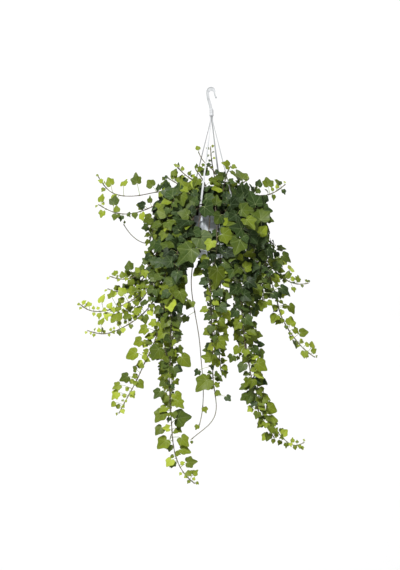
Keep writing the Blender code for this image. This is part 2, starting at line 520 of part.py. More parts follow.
def build_soil(mat):
    bottom = POT_FLOOR_Z + GAP
    fit = 1 / math.cos(math.pi / POT_SEGMENTS)
    low = inner_radius(bottom) - 2 * GAP * fit
    high = inner_radius(SOIL_Z) - 2 * GAP * fit
    turned("potting_soil", [(0, bottom), (low, bottom), (high, SOIL_Z),
                            (high * 0.6, SOIL_Z + SOIL_CROWN * 0.75), (0, SOIL_Z + SOIL_CROWN)],
           POT_SEGMENTS, mat)


def soil_height(radius):
    """Height of the soil's top at a distance from the axis."""
    edge = inner_radius(SOIL_Z)
    if radius > edge * 0.6:
        return SOIL_Z + SOIL_CROWN * 0.75 * (edge - radius) / (edge * 0.4)
    return SOIL_Z + SOIL_CROWN * (1 - 0.25 * radius / (edge * 0.6))


# ---- stems ----
def smooth_line(points):
    """Samples of a smooth curve through the points, about STEM_STEP apart."""
    ends = [points[0] * 2 - points[1]] + list(points) + [points[-1] * 2 - points[-2]]
    samples = [points[0].copy()]
    for a, b, c, d in zip(ends, ends[1:], ends[2:], ends[3:]):
        count = max(1, round((c - b).length / STEM_STEP))
        for step in range(1, count + 1):
            t = step / count
            samples.append(0.5 * (2 * b + (c - a) * t + (2 * a - 5 * b + 4 * c - d) * t ** 2
                                  + (3 * b - a - 3 * c + d) * t ** 3))
    return samples


def stem_start(crown):
    """The rooted end of a stem below its crown point."""
    radius = min(math.hypot(crown.x, crown.y) * 0.82, inner_radius(SOIL_Z) - 2 * RIM_CLEARANCE)
    flat = Vector((crown.x, crown.y, 0)).normalized() * radius
    return flat + UP * (soil_height(radius) + GAP)


def stem_line(vine):
    route = [Vector((x, y, RIM_Z + height)) for x, y, height in vine.route]
    start = stem_start(route[0])
    return smooth_line([start, start.lerp(route[0], 0.45) + UP * SOIL_BELOW_RIM * 0.2] + route)


def keep_off_pot(point):
    """Moves a point of a stem clear of the pot's wall and rim."""
    radius = math.hypot(point.x, point.y)
    inner = POT_INNER_TOP_RADIUS - RIM_CLEARANCE
    outer = POT_RIM_RADIUS + RIM_CLEARANCE
    rise = RIM_Z + RIM_CLEARANCE - point.z
    if rise <= 0 or radius <= inner or radius >= outer:
        return
    if rise < min(radius - inner, outer - radius):
        point.z += rise
        return
    target = outer if radius - inner > outer - radius else inner
    point.x *= target / radius
    point.y *= target / radius


def strand_samples():
    """Points along the hanger's strands, which the stems keep away from."""
    samples = []
    for angle in STRAND_ANGLES:
        line = strand_line(math.radians(angle))
        for a, b in zip(line, line[1:]):
            count = max(1, round((b - a).length / (STEM_STEP / 2)))
            samples += [a.lerp(b, step / count) for step in range(count + 1)]
    return samples


def part_stems(lines):
    """Moves stems apart until each keeps its distance to the others, the strands and the pot."""
    fixed = strand_samples()
    for _ in range(PARTING_ROUNDS):
        flat = [(which, place) for which, line in enumerate(lines) for place in range(len(line))]
        tree = KDTree(len(flat) + len(fixed))
        for index, (which, place) in enumerate(flat):
            tree.insert(lines[which][place], index)
        for index, point in enumerate(fixed):
            tree.insert(point, len(flat) + index)
        tree.balance()
        worst = 0
        moves = []
        for which, place in flat:
            point = lines[which][place]
            push = Vector()
            for other, index, distance in tree.find_range(point, STRAND_SPACING):
                same = index < len(flat) and flat[index][0] == which
                spacing = STEM_SPACING if index < len(flat) else STRAND_SPACING
                if same or distance == 0 or distance >= spacing:
                    continue
                push += (point - other) / distance * (spacing - distance) * PARTING_SHARE
                worst = max(worst, spacing - distance)
            moves.append(push)
        for (which, place), push in zip(flat, moves):
            if place == 0:
                push.z = 0
            lines[which][place] += push
        for line in lines:
            ease_line(line)
            for point in line[1:]:
                keep_off_pot(point)
        if worst < STEM_SPACING * PARTING_SLACK:
            break


def ease_line(line):
    """Takes small kinks out of a line. Its first point stays where it is rooted."""
    eased = [line[i].lerp((line[i - 1] + line[i + 1]) / 2, EASING) for i in range(1, len(line) - 1)]
    line[1:-1] = eased


def line_lengths(line):
    """Distance along the line at each of its points."""
    lengths = [0.0]
    for a, b in zip(line, line[1:]):
        lengths.append(lengths[-1] + (b - a).length)
    return lengths


def farthest(line, first, last):
    """The point between two others that leaves their chord most, and by how much."""
    chord = line[last] - line[first]
    best, place = 0.0, None
    for i in range(first + 1, last):
        offset = line[i] - line[first]
        away = (offset - chord * (offset.dot(chord) / chord.length_squared)).length
        if away > best:
            best, place = away, i
    return best, place


def chosen_corners(line, kept):
    """Corners of the straight runs that stand for a smooth line, with the kept ones among them."""
    corners = sorted(kept | {0, len(line) - 1})
    i = 0
    while i + 1 < len(corners):
        away, place = farthest(line, corners[i], corners[i + 1])
        if away > STEM_TOLERANCE:
            corners.insert(i + 1, place)
        else:
            i += 1
    return corners


def stem_radius(share):
    return STEM_RADIUS + (STEM_TIP_RADIUS - STEM_RADIUS) * share


# ---- leaves ----
# A leaf to grow: its sample on the stem, the reach of its petiole, and the blade's length.
Wish = namedtuple("Wish", "place reach length solid")
# One leaf: its sample on the stem, whether its petiole is straight, the petiole's bend,
# and the blade's base, axes and length.
Leaf = namedtuple("Leaf", "place straight bend base across along facing length")

# Half outline of a blade, as shares of its length: across and along. The apex closes it.
BLADE_HALF = ((0.36, -0.08), (0.50, 0.34))
BLADE_APEX = 0.94
BLADE_MIDDLE = 0.28
STRAIGHT_PETIOLE = 0.80     # cosine of the turn above which a petiole has no bend
PETIOLE_LEAST = 0.0085      # shortest petiole
SHARPEST_PETIOLE = 0.25     # least cosine between a petiole and its blade
FLATTEST_PETIOLE = 0.70     # most cosine between a petiole and its stem


def facing_at(point, rng):
    """Which way a blade faces: out from the pot, up, and on the front half towards the light."""
    out = Vector((point.x, point.y, 0)).normalized()
    if point.y < 0.08:
        out = out * 0.45 + FRONT * 0.85
    jitter = Vector((rng.uniform(-1, 1), rng.uniform(-1, 1), rng.uniform(-1, 1)))
    return (out.normalized() + UP * 0.35 + jitter * 0.42).normalized()


def leaf_at(stem_point, wish, reach, size, facing, yaw, pitch):
    """A leaf whose petiole reaches out from the stem and whose blade hangs from its end."""
    facing = Matrix.Rotation(math.radians(yaw), 3, "Z") @ facing
    heading = reach.normalized()
    along = (heading + DOWN * (1 - max(heading.z, 0))).normalized()
    along = (along - facing * along.dot(facing)).normalized()
    across = along.cross(facing)
    turn = Matrix.Rotation(math.radians(pitch), 3, across)
    along = turn @ along
    facing = turn @ facing
    base = stem_point + reach
    straight = heading.dot(along) > STRAIGHT_PETIOLE
    bend = stem_point + reach / 2 if straight else base - along * min(0.3 * reach.length, 0.006)
    return Leaf(wish.place, straight, bend, base, across, along, facing, wish.length * size)


def blade_outline(leaf, grow=0.0):
    """Outline of the blade from its base's left corner around to the right one."""
    half = [(PETIOLE_WIDTH / 2 + grow, 0.0, 0.0)]
    for x, y in BLADE_HALF:
        half.append((x * leaf.length + grow, y * leaf.length, LEAF_CUP * leaf.length))
    flat = [(-x, y, z) for x, y, z in half]
    flat.append((0, BLADE_APEX * leaf.length + grow, -LEAF_CUP * leaf.length))
    flat += [(x, y, z) for x, y, z in reversed(half)]
    return [leaf.base + leaf.across * x + leaf.along * y + leaf.facing * z for x, y, z in flat]


def blade_middle(leaf):
    return leaf.base + leaf.along * (BLADE_MIDDLE * leaf.length) + leaf.facing * (LEAF_CUP * 0.2 * leaf.length)


def matched(ring, target, direction):
    """The target's corners in the order that pairs them with the ring's, without a twist."""
    def winding(corners):
        return (corners[1] - corners[0]).cross(corners[3] - corners[0]).dot(direction)
    order = list(target)
    if winding([v.co for v in ring]) * winding([v.co for v in order]) < 0:
        order.reverse()
    middle = sum((v.co for v in ring), Vector()) / 4
    goal = sum((v.co for v in order), Vector()) / 4
    def spread(turned_order):
        return sum(((a.co - middle).normalized() - (b.co - goal).normalized()).length
                   for a, b in zip(ring, turned_order))
    return min((order[k:] + order[:k] for k in range(4)), key=spread)


def bridge(bm, ring, target):
    for k in range(4):
        bm.faces.new((ring[k], ring[(k + 1) % 4], target[(k + 1) % 4], target[k]))


def add_blade(bm, leaf, grow=0.0):
    """Adds the blade as a thin folded slab, open at its base, and returns the open end's corners."""
    half = leaf.facing * (LEAF_THICKNESS / 2 + grow)
    outline = blade_outline(leaf, grow)
    upper = [bm.verts.new(co + half) for co in outline]
    lower = [bm.verts.new(co - half) for co in outline]
    top = bm.verts.new(blade_middle(leaf) + half)
    under = bm.verts.new(blade_middle(leaf) - half)
    count = len(outline)
    for k in range(count):
        after = (k + 1) % count
        bm.faces.new((top, upper[k], upper[after]))
        bm.faces.new((under, lower[after], lower[k]))
    for k in range(count - 1):
        bm.faces.new((upper[k], lower[k], lower[k + 1], upper[k + 1]))
    return [upper[0], upper[-1], lower[-1], lower[0]]


def add_petiole_and_blade(bm, leaf, ring):
    """Grows a petiole and its blade from the four corners that the stem left open."""
    end = add_blade(bm, leaf)
    start = sum((v.co for v in ring), Vector()) / 4
    end = matched(ring, end, (leaf.base - start).normalized())
    goal = sum((v.co for v in end), Vector()) / 4
    if leaf.straight:
        bridge(bm, ring, end)
        return
    middle = []
    for a, b in zip(ring, end):
        offset = (a.co - start).normalized() + (b.co - goal).normalized()
        middle.append(bm.verts.new(leaf.bend + offset.normalized() * (PETIOLE_WIDTH * 0.6)))
    bridge(bm, ring, middle)
    bridge(bm, middle, end)


def box_between(bm, a, b, half):
    """A closed square bar around a straight run."""
    along = (b - a).normalized()
    side = along.orthogonal().normalized() * half
    other = along.cross(side)
    rings = [[p + side + other, p - side + other, p - side - other, p + side - other] for p in (a, b)]
    tube(bm, rings)


def shape_of(bm):
    """A searchable copy of a bmesh's surface, with the ball around it."""
    points = [v.co for v in bm.verts]
    middle = sum(points, Vector()) / len(points)
    radius = max((p - middle).length for p in points)
    tree = BVHTree.FromBMesh(bm)
    bm.free()
    return middle, radius, tree


def leaf_shapes(leaf, stem_point):
    """The leaf's space from just off its stem, and the petiole's root. None if the leaf crosses itself."""
    bm = bmesh.new()
    ring = add_blade(bm, leaf, LEAF_CLEARANCE)
    bm.faces.new(ring)
    blade = BVHTree.FromBMesh(bm)
    half = PETIOLE_WIDTH / 2 + LEAF_CLEARANCE
    petiole = bmesh.new()
    box_between(petiole, stem_point, leaf.bend, half)
    crosses = blade.overlap(BVHTree.FromBMesh(petiole))
    petiole.free()
    clear = stem_point.lerp(leaf.bend, min(0.9, 2.6 * STEM_RADIUS / (leaf.bend - stem_point).length))
    box_between(bm, clear, leaf.bend, half)
    box_between(bm, leaf.bend, leaf.base, half)
    root = bmesh.new()
    box_between(root, stem_point, clear, half)
    shapes = [shape_of(bm), shape_of(root)]
    return None if crosses else shapes


def object_shape(name):
    """The surface of a finished object, with its modifiers."""
    graph = bpy.context.evaluated_depsgraph_get()
    bm = bmesh.new()
    bm.from_object(bpy.data.objects[name], graph)
    return shape_of(bm)


def stem_shapes(line, corners):
    """The stem's space in short stretches, so that near ones are found quickly."""
    shapes = []
    for a, b in zip(corners, corners[1:]):
        bm = bmesh.new()
        box_between(bm, line[a], line[b], STEM_RADIUS + LEAF_CLEARANCE)
        shapes.append(shape_of(bm))
    return shapes


def is_free(shape, taken):
    middle, radius, tree = shape
    for other_middle, other_radius, other in taken:
        if (middle - other_middle).length < radius + other_radius and tree.overlap(other):
            return False
    return True


def wanted_leaves(vine, line, rng):
    """A vine's leaves, and which of them are solids."""
    lengths = line_lengths(line)
    wanted = []
    for x, height, length in vine.placed:
        forward = LEAF_FORWARD if length < LARGE_LEAF else LARGE_LEAF_FORWARD
        nearest = min(range(len(line)), key=lambda i: (line[i].x - x) ** 2 + (line[i].z - RIM_Z - height) ** 2)
        away = math.hypot(line[nearest].x - x, line[nearest].z - RIM_Z - height)
        place = max(2, nearest - round(away * 0.5 / STEM_STEP))
        target = Vector((x, line[nearest].y, RIM_Z + height)) + facing_at(line[nearest], rng) * forward
        heading = (target - line[place]).normalized() * 0.75 + DOWN * 0.75
        reach = target - heading.normalized() * (length * 0.4) - line[place]
        if reach.length < PETIOLE_LEAST:
            reach = (target - line[place]).normalized() * PETIOLE_LEAST
        wanted.append(Wish(place, reach, length, length > SOLID_LEAF_LENGTH))
    distance = vine.bare
    number = 0
    while distance < lengths[-1] - 0.010:
        place = min(range(len(line)), key=lambda i: abs(lengths[i] - distance))
        share = distance / lengths[-1]
        length = (vine.large + (vine.small - vine.large) * share) * rng.uniform(0.66, 1.06)
        run = (line[min(place + 1, len(line) - 1)] - line[place - 1]).normalized()
        out = facing_at(line[place], rng)
        across = run.cross(out).normalized() * (1 if number % 4 in (0, 3) else -1)
        reach = (across * 0.8 + out * 0.45 + run * 0.25).normalized() * length * rng.uniform(0.45, 0.85)
        solid = number % SOLID_LEAF_EVERY == 0 and length > SOLID_LEAF_LENGTH
        wanted.append(Wish(place, reach, length, solid))
        number += 1
        distance += vine.every * rng.uniform(0.85, 1.15)
    return wanted


def is_sound(leaf, stem_point, run):
    """Whether the petiole leaves its stem and meets its blade as a leaf's can."""
    if (leaf.base - stem_point).length < PETIOLE_LEAST * 0.99:
        return False
    heading = (leaf.base - stem_point).normalized()
    leaving = (leaf.bend - stem_point).normalized()
    return heading.dot(leaf.along) > SHARPEST_PETIOLE and abs(leaving.dot(run)) < FLATTEST_PETIOLE


def ways_to_grow(reach, run):
    """Reaches, sizes and turns to try for a leaf, the most wanted first."""
    for size in (1.0, 0.85, 0.7):
        for stretch in (1.0, 1.3, 0.75):
            for swing in (0, 40, -40):
                turned_reach = Matrix.Rotation(math.radians(swing), 3, run) @ reach * stretch
                for yaw in (0, 22, -22, 45, -45):
                    for pitch in (0, 18, -18):
                        yield turned_reach, size, yaw, pitch


def fitted_leaf(stem_point, run, wish, facing, fixed, grown):
    """The leaf nearest to the wish that touches nothing, or None where there is no room for one."""
    for reach, size, yaw, pitch in ways_to_grow(wish.reach, run):
        leaf = leaf_at(stem_point, wish, reach, size, facing, yaw, pitch)
        if not is_sound(leaf, stem_point, run):
            continue
        shapes = leaf_shapes(leaf, stem_point)
        if shapes and is_free(shapes[0], fixed + grown) and is_free(shapes[1], grown):
            return leaf, shapes
    return None


def grow_leaves(lines, fixed):
    """Chooses every vine's corners and leaves, so that no leaf touches another piece."""
    rng = random.Random(SEED)
    wishes = [spread_places(wanted_leaves(vine, line, rng), len(line)) for vine, line in zip(VINES, lines)]
    wishes = [[one for one in wish if one.solid] for wish in wishes]
    corners = [chosen_corners(line, {one.place for one in wish}) for line, wish in zip(lines, wishes)]
    for line, corner in zip(lines, corners):
        fixed += stem_shapes(line, corner)
    leaves = [[] for _ in lines]
    grown = []
    for which, wish in growing_order(wishes):
        line, place = lines[which], wish.place
        run = (line[place + 1] - line[place - 1]).normalized()
        facing = facing_at(line[place] + wish.reach, rng)
        found = fitted_leaf(line[place], run, wish, facing, fixed, grown)
        if found:
            leaves[which].append(found[0])
            grown += found[1]
    return corners, leaves


def growing_order(wishes):
    """Each wish with its vine's number: the large leaves first, then every vine's leaves in turn."""
    order = [(turn, which, wish) for which, row in enumerate(wishes) for turn, wish in enumerate(row)]
    order.sort(key=lambda one: (one[2].length < LARGE_LEAF, one[0], one[1]))
    return [(which, wish) for _, which, wish in order]


def spread_places(wanted, count):
    """Keeps one leaf to each sample of the stem, and moves the others to the next free one."""
    used = set()
    kept = []
    for wish in wanted:
        place = wish.place
        while place in used and place < count - 2:
            place += 1
        if place in used or not 0 < place < count - 1:
            continue
        used.add(place)
        kept.append(wish._replace(place=place))
    return kept


def ring_at(point, along, side, radius):
    other = along.cross(side)
    return [point + (side * math.cos(t) + other * math.sin(t)) * radius
            for t in (math.pi / 4 + math.pi / 2 * k for k in range(4))]


def build_vine(name, line, corners, leaves, mat):
    """One closed solid: the stem, with petioles and blades grown out of its sides."""
    lengths = line_lengths(line)
    at_place = {leaf.place: leaf for leaf in leaves}
    bm = bmesh.new()
    side = (line[corners[1]] - line[0]).orthogonal().normalized()
    last_ring, waiting = None, None
    for number, corner in enumerate(corners):
        before = line[corner] - line[corners[max(number - 1, 0)]]
        after = line[corners[min(number + 1, len(corners) - 1)]] - line[corner]
        along = (before.normalized() + after.normalized()).normalized()
        side = (side - along * side.dot(along)).normalized()
        radius = stem_radius(lengths[corner] / lengths[-1])
        leaf = at_place.get(corner)
        offsets = (-NODE_LENGTH / 2, NODE_LENGTH / 2) if leaf else (0.0,)
        for offset in offsets:
            ring = [bm.verts.new(co) for co in ring_at(line[corner] + along * offset, along, side, radius)]
            if last_ring is None:
                bm.faces.new(ring)
            else:
                open_side = side_towards(last_ring, ring, waiting, line[corner]) if waiting else None
                for k in range(4):
                    quad = (last_ring[k], last_ring[(k + 1) % 4], ring[(k + 1) % 4], ring[k])
                    if k == open_side:
                        add_petiole_and_blade(bm, waiting, quad)
                    else:
                        bm.faces.new(quad)
            waiting = leaf if leaf and offset < 0 else None
            last_ring = ring
    bm.faces.new(last_ring)
    return add_object(name, bm, mat)


def side_towards(ring, after, leaf, middle):
    """The side of a stretch of stem that looks towards the leaf."""
    heading = leaf.bend - middle

    def score(k):
        corners = (ring[k], ring[(k + 1) % 4], after[k], after[(k + 1) % 4])
        return (sum((v.co for v in corners), Vector()) / 4 - middle).dot(heading)
    return max(range(4), key=score)


def build_vines(mat):
    lines = [stem_line(vine) for vine in VINES]
    part_stems(lines)
    fixed = [object_shape(name) for name in ("hanger", "pot", "potting_soil")]
    corners, leaves = grow_leaves(lines, fixed)
    for vine, line, corner, leaf in zip(VINES, lines, corners, leaves):
        build_vine(vine.name, line, corner, leaf, mat)


def main():
    clear_scene()
    build_hanger(material("hanger_plastic", (0.80, 0.80, 0.78), 0.45))
    build_pot(material("pot_plastic", (0.48, 0.51, 0.54), 0.50))
    build_soil(material("potting_soil", (0.05, 0.035, 0.025), 0.95))
    build_vines(material("ivy", (0.07, 0.16, 0.03), 0.50))


main()
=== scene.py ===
import math
import random
from collections import namedtuple
from itertools import product

import bmesh
import bpy
from mathutils import Matrix, Vector, noise
from mathutils.bvhtree import BVHTree
from mathutils.kdtree import KDTree


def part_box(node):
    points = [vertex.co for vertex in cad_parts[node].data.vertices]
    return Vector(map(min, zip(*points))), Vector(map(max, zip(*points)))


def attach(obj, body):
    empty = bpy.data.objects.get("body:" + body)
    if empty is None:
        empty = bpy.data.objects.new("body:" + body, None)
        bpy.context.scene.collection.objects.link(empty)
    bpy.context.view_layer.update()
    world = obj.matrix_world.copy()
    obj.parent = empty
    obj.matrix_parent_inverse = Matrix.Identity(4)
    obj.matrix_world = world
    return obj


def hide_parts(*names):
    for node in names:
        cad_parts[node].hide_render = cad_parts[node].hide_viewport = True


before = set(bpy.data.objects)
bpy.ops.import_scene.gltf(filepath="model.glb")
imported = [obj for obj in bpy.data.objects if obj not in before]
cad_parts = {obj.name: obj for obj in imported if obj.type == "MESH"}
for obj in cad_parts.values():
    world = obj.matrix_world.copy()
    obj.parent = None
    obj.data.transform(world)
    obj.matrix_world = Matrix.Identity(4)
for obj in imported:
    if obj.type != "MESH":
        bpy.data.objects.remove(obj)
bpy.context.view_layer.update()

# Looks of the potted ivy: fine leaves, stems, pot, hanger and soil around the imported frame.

# ---- camera and studio, in metres ----
VIEW_HEIGHT = 1.71          # height of the scene that the picture takes in, at the pot's axis
VIEW_CENTRE = (-0.0345, -0.582)  # x and z that the camera looks at
CAMERA_DISTANCE = 10.0
SENSOR = 36.0               # millimetres
FLOOR_Z = -1.75
WALL_Y = 3.6
COVE_RADIUS = 1.2
STUDIO_HALF_WIDTH = 7.0
STUDIO_FRONT_Y = -12.0
WALL_GLOW = 0.04            # the lit backdrop's own light
WALL_HEIGHT = 6.0
COVE_STEPS = 12
WORLD_STRENGTH = 0.14
# name, place, aim, size and power of each light
LIGHTS = (("key", (-1.3, -3.4, 3.0), (0, 0, -0.5), 0.9, 420),
          ("fill", (3.4, -3.6, 0.2), (0, 0, -0.6), 2.4, 30),
          ("back", (0.5, 2.2, 2.4), (0, 0, -0.4), 1.8, 60))

# ---- sizes that the CAD model shares ----
GAP = 0.0003
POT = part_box("pot")
RIM_Z = POT[1][2]
POT_BOTTOM_Z = POT[0][2]
POT_RIM_RADIUS = 0.0810
POT_RIM_HEIGHT = 0.0165
POT_RIM_STEP = 0.0040
POT_BASE_RADIUS = 0.0560
POT_WALL = 0.0020
POT_FOOT = 0.0030
DRAIN_COUNT = 6
DRAIN_RADIUS = 0.0045
DRAIN_CIRCLE = 0.0340
DRAIN_TURN = 0.07
HOOK_INNER_RADIUS = 0.0070
HOOK_THICKNESS = 0.0046
HOOK_ARCH = 0.0060
SHANK_WIDTH = 0.0090
HOOK_DEPTH = 0.0070
HOOK_TIP_DROP = 0.0120
HOOK_SHANK = 0.0450
HUB_RADIUS = 0.0060
HUB_HEIGHT = 0.0220
FLANGE_RADIUS = 0.0078
FLANGE_THICKNESS = 0.0014
STRAND_ANGLES = (-26, 64, 154, 244)
STRAND_WIDTH = 0.0032
STRAND_THICKNESS = 0.0022
STRAND_STRAIGHT = 0.0160
STRAND_ROOT_RADIUS = 0.0036
CLIP_WIDTH = 0.0070
CLIP_FOOT = 0.0026
SOIL_BELOW_RIM = 0.0150
SOIL_CROWN = 0.0030
STEM_RADIUS = 0.0015
STEM_TIP_RADIUS = 0.0011
STEM_SPACING = 0.0062
STRAND_SPACING = 0.0080
STEM_STEP = 0.0060
STEM_TOLERANCE = 0.0014
PARTING_ROUNDS = 60
PARTING_SHARE = 0.6
PARTING_SLACK = 0.04
EASING = 0.35
RIM_CLEARANCE = 0.0035
CROWN_TO_ROOT = 0.82        # a stem's distance from the axis at the soil, as a share of its crown point's
SOIL_SHOULDER = 0.6         # within this share of its radius the soil rises gently, beyond it steeply
SOIL_SHOULDER_RISE = 0.75   # share of the soil's crown that the outer part rises
LEAF_THICKNESS = 0.0010
LEAF_CUP = 0.07
LEAF_CLEARANCE = 0.0004
PETIOLE_WIDTH = 0.0013
SOLID_LEAF_LENGTH = 0.0200
SOLID_LEAF_EVERY = 3
LARGE_LEAF = 0.0480
LEAF_FORWARD = 0.0080
LARGE_LEAF_FORWARD = 0.0260
SEED = 11

POT_WALL_TOP_RADIUS = POT_RIM_RADIUS - POT_RIM_STEP
POT_INNER_TOP_RADIUS = POT_WALL_TOP_RADIUS - POT_WALL
POT_FLOOR_Z = POT_BOTTOM_Z + POT_FOOT + POT_WALL
SOIL_Z = RIM_Z - SOIL_BELOW_RIM

DOWN = Vector((0, 0, -1))
UP = Vector((0, 0, 1))
FRONT = Vector((0, -1, 0))

# One rooted stem. The route runs from the crown outwards, from the pot's axis and rim plane.
# Placed leaves are (x, height, length). The others follow every `every` metres from `bare` on,
# with lengths that run from `large` near the crown to `small` at the tip.
Vine = namedtuple("Vine", "name route placed large small every bare")


def rooted(name, large, small, every, bare, route, placed):
    """A stem from millimetres."""
    route, placed = (tuple(tuple(size / 1000 for size in row) for row in rows) for rows in (route, placed))
    return Vine(name, route, placed, large / 1000, small / 1000, every / 1000, bare / 1000)


